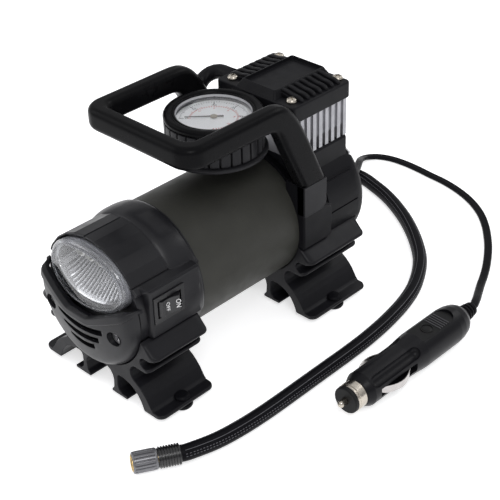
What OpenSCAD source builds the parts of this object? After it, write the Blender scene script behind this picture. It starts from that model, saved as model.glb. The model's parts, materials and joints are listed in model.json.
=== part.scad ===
// Portable 12 V tire inflator: a single-cylinder compressor on two extruded
// feet, with a front lamp, a carry handle round a pressure gauge, an air hose
// with a screw-on chuck and a lighter-socket plug.
// Frame: +X right (switch side), +Y to the rear, +Z up, z = 0 on the floor.

/* [Barrel] */
// Outer diameter of the motor barrel
barrel_d = 76; // [75.6:0.1:76.2]
// Wall of the motor barrel
barrel_wall = 1.8; // [1.4:0.1:2.0]
// Length of the motor barrel
barrel_len = 96; // [92:1:98]

/* [Handle] */
// Width of the handle bar
bar_w = 10.5; // [9.5:0.5:11]
// Height of the handle bar
bar_h = 13.5; // [12:0.5:14]
// Height of the top of the handle above the floor
handle_top = 148.3; // [146:0.5:150]

/* [Gauge] */
// Outer diameter of the gauge cup
gauge_d = 56; // [54:1:56]
// Number of grip ribs round the gauge cup
gauge_ribs = 28; // [18:1:30]

/* [Compressor] */
// Piston diameter
piston_d = 30; // [29:0.5:30]
// Running clearance of the piston, on the radius
piston_gap = 0.05; // [0.03:0.01:0.08]
// Crank throw, half of the stroke
throw = 8; // [7:0.5:8]
// Number of cooling fins
fin_count = 9; // [7:1:9]

/* [Fan] */
// Number of fan blades
blades = 7; // [5:1:9]

/* [Hose and cord] */
// Outer diameter of the air hose
hose_d = 9.0; // [8.8:0.1:9.1]
// Width of the flat power cord
cord_w = 5.2; // [5:0.1:5.4]
// Thickness of the flat power cord
cord_t = 3.2; // [3:0.1:3.4]

/* [Hidden] */
$fn = 96;

axis_z = 59.5;               // height of the motor axis
br = barrel_d / 2;
saddle_r = 38.5;             // cradle of both feet
cyl_y = 66.5;                // cylinder axis
gy = 10.6;                   // gauge axis
arm_x = 37.3;                // centre of each handle arm
bar_z0 = handle_top - bar_h;
front_y = -48.5;             // front of the handle bar
pg = piston_d / 2 + piston_gap;

module rev_y() translate([0, 0, axis_z]) rotate([-90, 0, 0]) rotate_extrude() children();
module cyl_y(r, y0, y1, x = 0, z = axis_z, f = 96)
  translate([x, y0, z]) rotate([-90, 0, 0]) cylinder(r = r, h = y1 - y0, $fn = f);
module cyl_x(r, x0, x1, y, z, f = 48)
  translate([x0, y, z]) rotate([0, 90, 0]) cylinder(r = r, h = x1 - x0, $fn = f);
module cyl_z(r, z0, z1, x = 0, y = 0, f = 64)
  translate([x, y, z0]) cylinder(r = r, h = z1 - z0, $fn = f);
// a flat shape in (x, z) carried along Y
module prof_y(y0, y1) translate([0, y1, 0]) rotate([90, 0, 0]) linear_extrude(y1 - y0) children();
// a flat shape in (y, z) carried along X
module prof_x(x0, x1) translate([x0, 0, 0]) rotate([90, 0, 90]) linear_extrude(x1 - x0) children();
module box(x0, x1, y0, y1, z0, z1) translate([x0, y0, z0]) cube([x1 - x0, y1 - y0, z1 - z0]);
module wedge(a, b, r = 60) translate([0, axis_z])
  polygon([[0, 0], [r * cos(a), r * sin(a)], [r * cos((a + b) / 2), r * sin((a + b) / 2)] * 1.1, [r * cos(b), r * sin(b)]]);
module round_rect(w, h, r) {
  square([w - 2 * r, h], center = true);
  square([w, h - 2 * r], center = true);
  for (sx = [-1, 1], sy = [-1, 1]) translate([sx * (w / 2 - r), sy * (h / 2 - r)]) circle(r, $fn = 32);
}

// ---------------------------------------------------------------- lamp head
// Almond outline of the lens, widest just below its middle
function lens_pts(g = 0) = concat(
  [for (t = [0:10:180]) let (c = cos(t), s = sin(t)) [(29.9 + g) * c, 74.6 + (20.1 + g) * pow(s, 0.85)]],
  [for (t = [190:10:350]) let (c = cos(t), s = sin(t)) [(29.9 + g) * c, 74.6 - (15.6 + g) * pow(-s, 0.9)]]);

pads = [[34, 57], [59.5, 69], [71.5, 93], [95.5, 114], [122, 146]];

module lamp_housing() color("#1c1c1e") difference() {
  union() {
    cyl_y(37.6, -84, -56);
    for (p = pads) intersection() {
      cyl_y(39, -83.4, -56.5);
      prof_y(-84, -56) wedge(p[0], p[1]);
    }
    cyl_y(38.5, -57, -40);
    intersection() {
      rev_y() polygon([[30, -57.5], [39.2, -57.5], [40.4, -55], [40.8, -51], [40.6, -44], [40, -41], [39.2, -40], [30, -40]]);
      box(-50, 50, -60, -38, 49.9, 110);
    }
    // flat pad that carries the switch
    box(26, 40.3, -78.6, -43, 49.9, 79.4);
  }
  // front wall stays 2.6 mm thick, the body 2.6 mm
  cyl_y(35, -81.4, -53);
  cyl_y(br, -52, -39);
  cyl_y(br - 2, -54, -51);
  prof_y(-85, -80) polygon(lens_pts(0.3));
  // space of the switch body behind its pad
  box(24, 37.9, -76.2, -46, 52, 77);
  box(24, 41, -75.7, -56.1, 59.9, 73.1);
  // screw holes that hold the vent mask
  for (s = [-1, 1]) cyl_y(1.3, -86, -75, s * 25.8, 51, 24);
  // air passage behind the mask
  for (x = [-12, 0, 12]) cyl_y(4.2, -86, -79, x, 44, 32);
}

module lamp_reflector() color("#c9ccd0") difference() {
  intersection() {
    prof_y(-81.5, -65.2) polygon([for (p = lens_pts(-1.2)) [p[0] * 0.97, p[1]]]);
    cyl_y(34.7, -82, -65);
  }
  prof_y(-82, -66.8) polygon([for (p = lens_pts(-1.2)) [p[0] * 0.9, 74 + (p[1] - 74) * 0.9]]);
  for (x = [-16:8:16]) cyl_y(2.7, -69, -64, x, 80.8, 24);
  // room for the switch
  box(18.6, 45, -76.4, -55, 55, 73.8);
}

// domed lens, leaning back towards its top
module lamp_lens() color("#dfe6ea") difference() {
  intersection() {
    prof_y(-92, -81.5) polygon(lens_pts(0));
    translate([0, 28.2, 63]) sphere(r = 120, $fn = 180);
  }
  intersection() {
    prof_y(-93, -81) polygon(lens_pts(-2.4));
    translate([0, 28.2, 63]) sphere(r = 117.6, $fn = 180);
  }
}

module lamp_board() color("#2f5d3a") difference() {
  prof_y(-65.2, -63.6) polygon([for (p = lens_pts(-3)) [p[0], p[1] * 0.94 + 5]]);
  box(18.6, 45, -70, -60, 55, 73.8);
}

module lamp_leds() color("#f2f2ea")
  for (x = [-16:8:16]) {
    cyl_y(2.5, -76.5, -65.2, x, 80.8, 24);
    translate([x, -76.5, 80.8]) sphere(r = 2.5, $fn = 16);
  }

// Lower rim of the lens opening, as the top edge of the mask
function lip(x) = 58.6 + 9.6 * pow(abs(x) / 40, 2.2);
module slot(w, z, h, c) polygon(concat(
  [for (i = [-8:8]) [w * i / 8, z + h / 2 + c * pow(i / 8, 2)]],
  [for (i = [8:-1:-8]) [w * i / 8, z - h / 2 + c * pow(i / 8, 2)]]));
module mask_solid() rev_y() polygon([[0, -96], [10, -95.7], [18, -94.8], [26, -93.2], [31, -91.6], [34.6, -89.6],
  [37, -87.2], [38.2, -84], [0, -84]]);

module vent_mask() color("#262628") difference() {
  union() {
    difference() {
      intersection() {
        mask_solid();
        prof_y(-97, -84) polygon(concat([[-41, 15]], [for (i = [-20:20]) [i * 2.05, lip(i * 2.05)]], [[41, 15]]));
      }
      rev_y() polygon([[0, -93.4], [16, -92.4], [25, -90.8], [30, -89], [33.4, -86.4], [34.4, -83], [0, -83]]);
    }
    for (s = [-1, 1]) intersection() {
      cyl_y(5.6, -97, -84, s * 25.8, 51, 32);
      mask_solid();
    }
  }
  prof_y(-98, -88) { slot(18, 49, 3.5, 2.6); slot(14.4, 42.9, 3.4, 2.1); slot(9.8, 36.9, 3.3, 1.8); }
  for (s = [-1, 1]) {
    cyl_y(4.3, -97, -88.6, s * 25.8, 51, 32);
    cyl_y(1.4, -97, -83, s * 25.8, 51, 24);
  }
}

module mask_screws() color("#3a3a3c") for (s = [-1, 1]) difference() {
  union() {
    cyl_y(3.6, -90.6, -88.6, s * 25.8, 51, 32);
    cyl_y(1.2, -88.6, -77, s * 25.8, 51, 24);
  }
  box(s * 25.8 - 0.5, s * 25.8 + 0.5, -92, -89.8, 49, 53);
  box(s * 25.8 - 2, s * 25.8 + 2, -92, -89.8, 50.5, 51.5);
}

// ---------------------------------------------------------------- switch
sw_y = -65.9; sw_z = 66.5;
module switch_body() color("#1a1a1b") difference() {
  union() {
    box(40.3, 41.1, sw_y - 10.6, sw_y + 10.6, sw_z - 8.2, sw_z + 8.2);
    box(27, 40.3, sw_y - 9.6, sw_y + 9.6, sw_z - 6.5, sw_z + 6.5);
    for (d = [-6.5, 0, 6.5]) box(19.5, 27, sw_y + d - 0.4, sw_y + d + 0.4, sw_z - 2.4, sw_z + 2.4);
  }
  box(30, 43, sw_y - 8.3, sw_y + 8.3, sw_z - 5.3, sw_z + 5.3);
  translate([37.2, sw_y, sw_z - 6.1]) cylinder(r = 1.25, h = 12.2, $fn = 32);
}

// shown switched off: the front end of the rocker is down
module switch_rocker() color("#202022") translate([37.2, sw_y, sw_z]) rotate([0, 0, -8]) {
  difference() {
    intersection() {
      box(-5, 6.4, -7.9, 7.9, -4.9, 4.9);
      translate([0, 0, -6]) cylinder(r = 7.95, h = 12, $fn = 64);
    }
    translate([17.6, 0, -6]) cylinder(r = 12.6, h = 12, $fn = 64);
  }
  translate([0, 0, -6]) cylinder(r = 1.2, h = 12, $fn = 32);
}

// ---------------------------------------------------------------- feet
half_foot = [[0, 19.2], [6.5, 18.9], [9.2, 17.4], [10.9, 15], [11.5, 12], [11.1, 6.6], [9.2, 4.3], [9.2, 2.9],
  [22, 2.9], [22, 4.9], [17.4, 5.0], [15.4, 6.6], [14.6, 9.5], [15.0, 17.3],
  [20.7, 17.3], [25.6, 16.0], [29, 13.9], [31.6, 11.2], [33.6, 8.1], [35.0, 5.0], [35.5, 2.9],
  [49, 2.9], [50, 3.7], [50, 5.0], [49.3, 5.6], [43.4, 5.7], [41.8, 7.1], [40.4, 9.4], [38.5, 12.4], [36.2, 15.1],
  [33.4, 17.6], [30.6, 19.5], [28.8, 20.6],
  [27.4, 22.2], [26.6, 24.4], [26.7, 26.8], [27.8, 29.0], [29.7, 30.4], [32, 30.8],
  [40.6, 30.6], [41.8, 31.2], [42.1, 32.2], [41.5, 33.2], [38.8, 33.3],
  [37.1, 33.8], [35.9, 35.1], [35.5, 36.8], [36.0, 38.5], [37.3, 39.7], [39, 40.1],
  [45.2, 40.0], [47.2, 40.6], [48.3, 41.8], [47.9, 43.1],
  [39.6, 48.6], [37.6, 49.8], [30, 55], [0, 55]];

foot_pts = concat(half_foot, [for (i = [len(half_foot) - 2:-1:1]) [-half_foot[i][0], half_foot[i][1]]]);
module foot(y0, y1) difference() {
  prof_y(y0, y1) polygon(foot_pts);
  cyl_y(saddle_r, y0 - 1, y1 + 1, f = 128);
  // holes of the rubber buttons
  for (s = [-1, 1]) {
    cyl_z(2.6, 0, 10, s * 44.4, (y0 + y1) / 2, 32);
    cyl_z(4.6, 5.75, 14, s * 44.4, (y0 + y1) / 2, 32);
  }
}
module front_foot() color("#202022") foot(-85, -45);
module rear_foot() color("#202022") foot(37, 85.6);

module rubber_feet() color("#2b2b2b")
  for (s = [-1, 1], y = [-65, 61.3]) translate([s * 44.4, y, 0]) {
    cylinder(r1 = 5.2, r2 = 6, h = 1.2, $fn = 40);
    translate([0, 0, 1.2]) cylinder(r = 6, h = 1.7, $fn = 40);
    translate([0, 0, 2.9]) cylinder(r = 2.5, h = 2.9, $fn = 32);
    translate([0, 0, 5.8]) cylinder(r = 4.4, h = 1.1, $fn = 40);
    translate([0, 0, 6.9]) cylinder(r1 = 4.4, r2 = 3, h = 1.2, $fn = 40);
  }

// ---------------------------------------------------------------- motor
b0 = -51.9; b1 = b0 + barrel_len;
module motor_barrel() color("#33332d") difference() {
  cyl_y(br, b0, b1, f = 128);
  cyl_y(br - barrel_wall, b0 - 1, b1 + 1, f = 128);
}
ir = br - barrel_wall;
module motor_magnets() color("#4a4a4d") for (a = [0, 180]) difference() {
  cyl_y(ir, -27, 27);
  cyl_y(30.4, -28, 28);
  prof_y(-28, 28) { wedge(a + 60, a + 180); wedge(a + 175, a + 300); }
}
module brush_plate() color("#3b3229") difference() {
  union() {
    cyl_y(ir, -44, -40);
    cyl_y(15, -48.6, -43);
    for (s = [-1, 1]) box(s * 21.5 - 9, s * 21.5 + 9, -40, -30.5, axis_z - 5, axis_z + 5);
  }
  cyl_y(11.05, -47.4, -40.2, f = 64);
  cyl_y(5.2, -50, -38, f = 48);
  for (s = [-1, 1]) box(s * 22 - 12, s * 22 + 12, -38, -31.6, axis_z - 3.2, axis_z + 3.2);
}
module brushes() color("#2a2a2c") for (s = [-1, 1])
  translate([s * 11.3 - (s < 0 ? 9 : 0), -38, axis_z - 3]) cube([9, 6, 6]);
module bearing(y, x = 0, z = axis_z, ro = 11, rb = 4.06) difference() {
  union() {
    difference() { cyl_y(ro, y, y + 7, x, z, 64); cyl_y(8.9, y - 1, y + 8, x, z, 64); }
    difference() { cyl_y(6.6, y, y + 7, x, z, 64); cyl_y(rb, y - 1, y + 8, x, z, 64); }
    difference() { cyl_y(9, y + 0.6, y + 6.4, x, z, 64); cyl_y(6.5, y, y + 7, x, z, 64); }
  }
}
module front_bearing() color("#b9bcc0") bearing(-47.3);
module rear_bearing() color("#b9bcc0") bearing(38.4);
module motor_shaft() color("#c4c7cb") {
  cyl_y(4, -57, 58, f = 64);
}
module armature() color("#8a4b2a") difference() {
  union() {
    cyl_y(29.4, -20, 20);
    for (s = [-1, 1]) cyl_y(21, s < 0 ? -26.5 : 20, s < 0 ? -20 : 27);
  }
  cyl_y(4.0, -30, 30, f = 64);
  for (i = [0:11]) translate([0, 0, axis_z]) rotate([0, i * 30, 0]) box(26.5, 31, -21, 21, -1.3, 1.3);
}
module commutator() color("#b87333") difference() {
  cyl_y(11, -38.6, -26.5, f = 48);
  cyl_y(4.0, -40, -25, f = 64);
}
module cooling_fan() color("#3a3a3d") difference() {
  union() {
    cyl_y(9, -55.8, -49.2, f = 48);
    difference() { cyl_y(33.6, -50.9, -49.9); cyl_y(30, -56, -48); }
    for (i = [0:blades - 1]) translate([0, 0, axis_z]) rotate([0, i * 360 / blades, 0])
      translate([0, -52.6, 0]) rotate([32, 0, 0]) box(8, 31.5, -0.7, 0.7, -5, 5);
  }
  cyl_y(4.0, -64, -48, f = 64);
}
module motor_end_plate() color("#a3a6aa") difference() {
  cyl_y(ir, 36, 46.2);
  cyl_y(11.05, 38.3, 47, f = 64);
  cyl_y(5.5, 35, 40, f = 48);
  for (a = [30, 90, 150, 210, 270, 330]) translate([0, 0, axis_z]) rotate([0, a, 0]) cyl_y(5, 35, 47, 24, 0, 32);
}
// disc crank with a counterweight opposite its pin
module crank() color("#8c9095") difference() {
  union() {
    cyl_y(13, 49, 57, f = 64);
    intersection() {
      cyl_y(24, 49, 57, f = 96);
      prof_y(48, 58) translate([0, axis_z]) polygon([[-24, -6], [24, -6], [26, -30], [-26, -30]]);
    }
    cyl_y(3.2, 56, 62.2, 0, axis_z + throw, 48);
  }
  cyl_y(4.0, 48, 58.0, f = 64);
}

// ---------------------------------------------------------------- rear end
leg_front = [[3.5, bar_z0], [12, bar_z0], [16.2, 133.6], [19.4, 129.4], [21.8, 124], [37.7, 91]];
leg_rear = [[56.3, 91], [44.6, 116.5], [37.4, 131], [33.6, 137.6], [29.2, 143], [24.6, 146.6], [19, handle_top], [3.5, handle_top]];

module rear_housing() color("#1c1c1e") difference() {
  union() {
    cyl_y(38.5, 40.4, 88);
    intersection() {
      cyl_y(40, 40.4, 88);
      box(-50, 50, 30, 90, 49.9, 110);
    }
    // side blocks that hold the handle legs
    for (s = [-1, 1]) intersection() {
      prof_x(s > 0 ? 28 : -42.5, s > 0 ? 42.5 : -28)
        polygon([[37.7, 49.9], [61.5, 49.9], [61.5, 70.5], [56.3, 73.5], [56.3, 91], [37.7, 91]]);
      box(-60, 60, 37, 62, 49.9, 91);
    }
    for (p = [[34, 57], [123, 146], [12, 31], [149, 168]]) intersection() {
      cyl_y(40.8, 62, 87);
      prof_y(62, 87) wedge(p[0], p[1]);
    }
  }
  cyl_y(br, 36, 46.2);
  cyl_y(36, 46, 89);
  // seat of the cylinder base, and the way in for the cylinder
  box(-29.7, 29.7, 43.8, 88.2, 88, 110);
  cyl_z(19.2, 80, 110, 0, cyl_y);
  for (s = [-1, 1]) {
    box(s * 37.2 - 3.1, s * 37.2 + 3.1, 42.4, 52.6, 76, 92);
    cyl_x(1.6, s > 0 ? 28 : -44, s > 0 ? 44 : -28, 47.5, 82, 32);
    cyl_x(3.1, s > 0 ? 28 : -33.9, s > 0 ? 33.9 : -28, 47.5, 82, 32);
  }
  for (s = [-1, 1]) box(s > 0 ? 39.2 : -42, s > 0 ? 42 : -39.2, 64, 89, 61.8, 62.8);
  for (a = [45, 135, 225, 315]) translate([0, 0, axis_z]) rotate([0, a, 0]) cyl_y(1.3, 80, 89, 37, 0, 24);
}

module rear_cover() color("#1c1c1e") difference() {
  union() {
    rev_y() polygon([[0, 88], [39.4, 88], [39.4, 91], [38.4, 93.6], [36.4, 95.2], [33.4, 96], [0, 96]]);
    cyl_y(35.8, 84, 88);
  }
  cyl_y(33.4, 83, 93.4);
  box(-30, 30, 83, 88, 83.6, 110);
  for (i = [-4:4]) box(-26 + abs(i) * 1.2, 26 - abs(i) * 1.2, 92, 98, axis_z + 6 + i * 4.6 - 1.1, axis_z + 6 + i * 4.6 + 1.1);
  cyl_y(4.1, 93, 98, -14, 36, 40);
  for (a = [45, 135, 225, 315]) translate([0, 0, axis_z]) rotate([0, a, 0]) {
    cyl_y(1.6, 83, 98, 37, 0, 24);
    cyl_y(2.9, 91.8, 98, 37, 0, 32);
  }
}
module cover_screws() color("#8f9296") for (a = [45, 135, 225, 315])
  translate([0, 0, axis_z]) rotate([0, a, 0]) {
    cyl_y(1.2, 82, 91.8, 37, 0, 24);
    cyl_y(2.6, 91.8, 93.2, 37, 0, 32);
  }

module cylinder_base() color("#222224") difference() {
  union() {
    prof_y(44, 88) polygon([[-29.5, 85], [29.5, 85], [29.5, 99.4], [28.4, 100.9], [-28.4, 100.9], [-29.5, 99.4]]);
    box(-24, 24, 86.5, 90.6, 92, 100.9);
  }
  box(-60, 60, 30, 100, 70, 88.1);
  cyl_y(38.1, 30, 46.4);
  cyl_y(40.05, 87.9, 100);
  cyl_z(18.3, 80, 110, 0, cyl_y);
}

fin_pitch = 5.2;
module finned_cylinder() color("#a9abb0") difference() {
  union() {
    cyl_z(18.2, 84, 103, 0, cyl_y);
    cyl_z(21, 100.9, 124.6, 0, cyl_y);
    box(-26.2, 26.2, cyl_y - 21.4, cyl_y + 21.4, 113, 124.6);
    for (i = [0:fin_count - 1]) let (y = cyl_y + (i - (fin_count - 1) / 2) * fin_pitch)
      box(-28.8, 28.8, y - 1.35, y + 1.35, 100.9, 124.6);
  }
  cyl_z(pg, 80, 130, 0, cyl_y);
  for (sx = [-1, 1], y = [48.7, 87.4]) cyl_z(1.75, 108, 130, sx * 22.8, y, 32);
  for (sx = [-1, 1]) box(sx * 22.8 - 3.1, sx * 22.8 + 3.1, 44, 52, 100, 112);
}

crown_z = 122.6;
rod_z = axis_z + throw;
module con_rod() color("#9fa2a6") difference() {
  union() {
    cyl_y(13.4, 62.6, 70.4, 0, rod_z, 64);
    box(-5, 5, 63.2, 69.8, rod_z + 8, 112);
    cyl_z(14.4, 112, 115, 0, cyl_y);
    cyl_z(10.8, 115, 119.6, 0, cyl_y);
    cyl_z(14.4, 119.6, crown_z, 0, cyl_y);
  }
  cyl_y(11.0, 61, 72, 0, rod_z, 64);
}
module rod_bearing() color("#b9bcc0") bearing(63, 0, rod_z, 11.0, 4.0);
module piston_seal() color("#d8d2c4") difference() {
  cyl_z(piston_d / 2, 115.1, 119.5, 0, cyl_y);
  cyl_z(10.9, 110, 125, 0, cyl_y);
}
module head_gasket() color("#6d5c46") difference() {
  box(-27.5, 27.5, cyl_y - 22.4, cyl_y + 22.4, 124.6, 125.2);
  cyl_z(pg, 120, 130, 0, cyl_y);
  for (sx = [-1, 1], y = [48.7, 87.4]) cyl_z(1.75, 120, 130, sx * 22.8, y, 32);
}
module valve_plate() color("#b4b7bb") difference() {
  union() {
    box(-27.5, 27.5, cyl_y - 22.4, cyl_y + 22.4, 125.2, 127.2);
    box(-4, 4, cyl_y - 14, cyl_y + 3, 127.2, 127.6);
  }
  for (sx = [-1, 1], y = [48.7, 87.4]) cyl_z(1.75, 120, 130, sx * 22.8, y, 32);
  for (x = [-7, 7]) cyl_z(1.6, 120, 130, x, cyl_y - 6, 24);
}

module head_cover() color("#1d1d1f") difference() {
  intersection() {
    union() {
      prof_y(42, 91) polygon([[-30, 124.6], [30, 124.6], [30, 133.4], [28.8, 134.6], [-28.8, 134.6], [-30, 133.4]]);
      prof_y(44.6, 88.6) polygon([[-26, 134], [-14.5, 138.8], [14.5, 138.8], [26, 134]]);
      for (s = [-1, 1], i = [-3:3])
        box(s > 0 ? 13 : -28.4, s > 0 ? 28.4 : -13, 67.6 + i * 5.1 - 1.3, 67.6 + i * 5.1 + 1.3, 134, 136.6);
      for (s = [-1, 1], i = [-3:3])
        box(s > 0 ? 13 : -21.4, s > 0 ? 21.4 : -13, 67.6 + i * 5.1 - 1.3, 67.6 + i * 5.1 + 1.3, 134, 138.6);
    }
    translate([0, 66.5, 120]) linear_extrude(30) round_rect(60, 49, 4.5);
  }
  // recessed centre plate
  box(-11.8, 11.8, 48, 86, 137.2, 140);
  // corner pads of the screws
  for (sx = [-1, 1], y = [48.7, 87.4]) {
    box(sx > 0 ? 17.5 : -31, sx > 0 ? 31 : -17.5, y < 60 ? 40 : 82.6, y < 60 ? 52 : 92, 134.6, 142);
    cyl_z(1.75, 120, 140, sx * 22.8, y, 32);
  }
  // air chamber above the valve plate
  box(-27.6, 27.6, cyl_y - 22.5, cyl_y + 22.5, 124, 127.2);
  box(-17, 17, cyl_y - 15, cyl_y + 15, 127, 132.4);
  // outlet on the left
  cyl_x(3.4, -31, -16, 58, 129.4, 32);
}
module head_screws() color("#cfd0cc") for (sx = [-1, 1], y = [48.7, 87.4]) translate([sx * 22.8, y, 0]) difference() {
  union() {
    translate([0, 0, 109]) cylinder(r = 1.7, h = 25.7, $fn = 32);
    translate([0, 0, 134.6]) cylinder(r = 3.15, h = 1.2, $fn = 40);
    translate([0, 0, 135.8]) cylinder(r1 = 3.15, r2 = 1.9, h = 0.9, $fn = 40);
  }
  box(-2, 2, -0.45, 0.45, 135.5, 138);
  box(-0.45, 0.45, -2, 2, 135.5, 138);
}

// ---------------------------------------------------------------- handle
module handle() color("#232325") difference() {
  union() {
    difference() {
      translate([0, 0, bar_z0]) linear_extrude(bar_h) difference() {
        translate([0, (front_y + 3.5) / 2 + 10]) round_rect(2 * arm_x + bar_w, 3.5 - front_y + 20, 12);
        translate([0, (front_y + 3.5) / 2 + bar_w / 2 + 10]) round_rect(2 * arm_x - bar_w, 3.5 - front_y - bar_w + 20, 6);
      }
      box(-60, 60, 3.5, 60, 100, 160);
    }
    for (s = [-1, 1]) {
      prof_x(s * arm_x - bar_w / 2, s * arm_x + bar_w / 2) polygon(concat(leg_front, leg_rear));
      box(s * 37.2 - 3, s * 37.2 + 3, 42.5, 52.5, 76.4, 92);
    }
  }
  for (s = [-1, 1]) cyl_x(1.2, s > 0 ? 33 : -42, s > 0 ? 42 : -33, 47.5, 82, 24);
}
module handle_screws() color("#8f9296") for (s = [-1, 1]) {
  cyl_x(1.15, s > 0 ? 31 : -40, s > 0 ? 40 : -31, 47.5, 82, 24);
  cyl_x(2.7, s > 0 ? 31.8 : -33.6, s > 0 ? 33.6 : -31.8, 47.5, 82, 32);
}

// ---------------------------------------------------------------- gauge
gr = gauge_d / 2;
module gauge_cup() color("#1f1f21") difference() {
  union() {
    cyl_z(gr - 0.9, 114, 133.6, 0, gy, 96);
    cyl_z(29.8, 112.4, 114.8, 0, gy, 96);
    for (i = [0:gauge_ribs - 1]) translate([0, gy, 0]) rotate([0, 0, i * 360 / gauge_ribs])
      box(gr - 2, gr - 0.1, -2.4, 2.4, 114.8, 132.6);
    // stem to the cylinder head
    cyl_y(5, gy + gr - 4, 42.0, 0, 128, 32);
  }
  cyl_z(gr - 3.4, 115.2, 140, 0, gy, 96);
  cyl_y(2, gy + 10, 43, 0, 128, 24);
}
module gauge_bezel() color("#242426") translate([0, gy, 0]) rotate_extrude()
  polygon([[22.0, 134.4], [21.3, 134.4], [21.4, 135.9], [22.6, 136.5], [26.4, 136.7], [27.6, 136.1], [gr, 135.1], [gr, 133.6], [22.0, 133.6]]);
module gauge_glass() color("#dfe6ea") cyl_z(21.9, 133.8, 134.38, 0, gy, 96);
module gauge_dial() color("#e8e6e2") difference() {
  cyl_z(23.2, 130.8, 131.6, 0, gy, 96);
  cyl_z(0.9, 130, 133, 0, gy, 24);
}
module gauge_movement() color("#b08d57") difference() {
  union() {
    difference() { cyl_z(17, 119.5, 127, 0, gy, 64); cyl_z(14.5, 119, 128, 0, gy, 64); box(-20, 0, gy - 4, gy + 4, 118, 128); }
    box(-8, 8, gy - 6, gy + 6, 127, 128.6);
    box(-8, -5, gy - 6, gy + 14.9, 119.5, 127);
    cyl_z(4, 128.6, 130.7, 0, gy, 32);
    box(-8, 8, gy + 12, gy + 17, 115.3, 119.5);
  }
  cyl_z(0.66, 126, 131, 0, gy, 32);
}
// The needle points at zero, down and to the left of the dial
module gauge_needle() color("#1b1b1b") translate([0, gy, 0]) {
  translate([0, 0, 127]) cylinder(r = 0.6, h = 5.6, $fn = 32);
  translate([0, 0, 132.1]) cylinder(r = 2, h = 0.9, $fn = 32);
  translate([0, 0, 132.2]) rotate([0, 0, 225]) linear_extrude(0.5)
    polygon([[-6, -0.9], [-6, 0.9], [0, 0.7], [16.5, 0.15], [16.5, -0.15], [0, -0.7]]);
}

// ---------------------------------------------------------------- hose
module rod(a, b, r, f = 24) {
  d = b - a; l = norm(d);
  translate(a) rotate([0, acos(d[2] / l), atan2(d[1], d[0])]) cylinder(r = r, h = l, $fn = f);
}
el_x = -39; el_y = 57; el_z = 130.5;     // end of the straight outlet stub
el_r = 9.4; el_t = 30; el_r2 = 9;         // first bend, its tilt, second bend
el_x2 = el_x - el_r;
el_y2 = el_y - el_r * cos(el_t); el_z2 = el_z - el_r * sin(el_t);
el_y3 = el_y2 - el_r2 * (1 - sin(el_t)); el_z3 = el_z2 - el_r2 * cos(el_t);
// bend from -X to the front with a tilt, then down to -Z
el_pts = concat([[-31, el_y, el_z], [-35, el_y, el_z]],
  [for (a = [0:18:90]) [el_x - el_r * sin(a), el_y - el_r * (1 - cos(a)) * cos(el_t), el_z - el_r * (1 - cos(a)) * sin(el_t)]],
  [for (b = [el_t + 20:20:90]) [el_x2, el_y2 - el_r2 * (sin(b) - sin(el_t)), el_z2 - el_r2 * (cos(el_t) - cos(b))]],
  [[el_x2, el_y3, 112]]);
module outlet_elbow() color("#2b2b2d") {
  sweep(el_pts, 8.8, 8.8, 16, [-1, 0, 0]);
  difference() {
    cyl_x(6.4, -34.5, -30, el_y, el_z - 1.5, 6);
    cyl_x(2, -35, -29, el_y, el_z - 1.1, 24);
  }
  translate([el_x2, el_y3, 108]) cylinder(r = 5.1, h = el_z3 - 107, $fn = 32);
}

hz = 4.65;
// start of the hose's ferrule and the way it points
ck = [77.2, -97, 5.9];
ck_dir = [-12.6, -21.3, 0];
module at_chuck() translate(ck) rotate([90, 0, atan2(ck_dir[1], ck_dir[0]) + 90]) children();
hose_pts = [[el_x2, el_y3, 108], [el_x2, el_y3, 98], [-48.9, el_y3 + 0.2, 86], [-50.2, 45.4, 74], [-52.6, 47, 62], [-55.6, 49.8, 50], [-58.6, 54.4, 38],
  [-61.4, 61, 27], [-64.2, 69.5, 17.6], [-67, 80, 10.6], [-70, 92, 6.4], [-73.6, 105, hz],
  [-77.4, 118, hz], [-79.6, 131, hz], [-79, 145, hz], [-75.6, 157.6, hz],
  [-69.5, 168.6, hz], [-60.5, 178, hz], [-48.6, 184.2, hz], [-35.4, 185, hz], [-22, 181.6, hz], [-8.6, 177, hz], [5.6, 170.2, hz], [23.1, 159.6, hz],
  [42, 144.8, hz], [58.6, 127.6, hz], [71.4, 106.3, hz], [78.3, 86.7, hz], [82.6, 64.6, hz], [84.8, 44, hz], [85.6, 25.2, hz], [85.8, 7.5, hz],
  [86, -9.7, hz], [86.2, -25.6, hz], [86.2, -41.5, hz], [85.6, -56, hz], [84.3, -69, hz], [82.7, -78.4, 4.8], [80.6, -87.6, 5.4], [78.73, -94.42, 5.9], ck];

// one closed tube swept along points: sections of n sides, w wide and t high
function unit(v) = v / norm(v);
function tang(p, i) = unit(p[min(i + 1, len(p) - 1)] - p[max(i - 1, 0)]);
function side(d) = abs(d[2]) > 0.92 ? [0, 1, 0] : unit(cross(d, [0, 0, 1]));
module sweep(p, w, t, n, s0 = [0, 0, 0]) {
  m = len(p);
  sd = [for (i = [0:m - 1]) let (d = tang(p, i), h = [d[0], d[1], 0], g = s0 == [0, 0, 0] ? side(d) : s0)
    norm(h) < 0.45 ? unit(g - d * (g * d)) : unit(cross(d, [0, 0, 1]))];
  pts = [for (i = [0:m - 1]) let (d = tang(p, i), u = sd[i], v = cross(u, d))
    for (k = [0:n - 1]) p[i] + u * (w / 2 * cos(k * 360 / n)) + v * (t / 2 * sin(k * 360 / n))];
  polyhedron(points = pts, faces = concat(
    [[for (k = [n - 1:-1:0]) k]], [[for (k = [0:n - 1]) (m - 1) * n + k]],
    [for (i = [0:m - 2], k = [0:n - 1]) let (a = i * n + k, b = i * n + (k + 1) % n) [a, b, b + n, a + n]]));
}
module air_hose() color("#1f1f21") sweep(hose_pts, hose_d, hose_d, 10, [1, 0, 0]);

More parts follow.
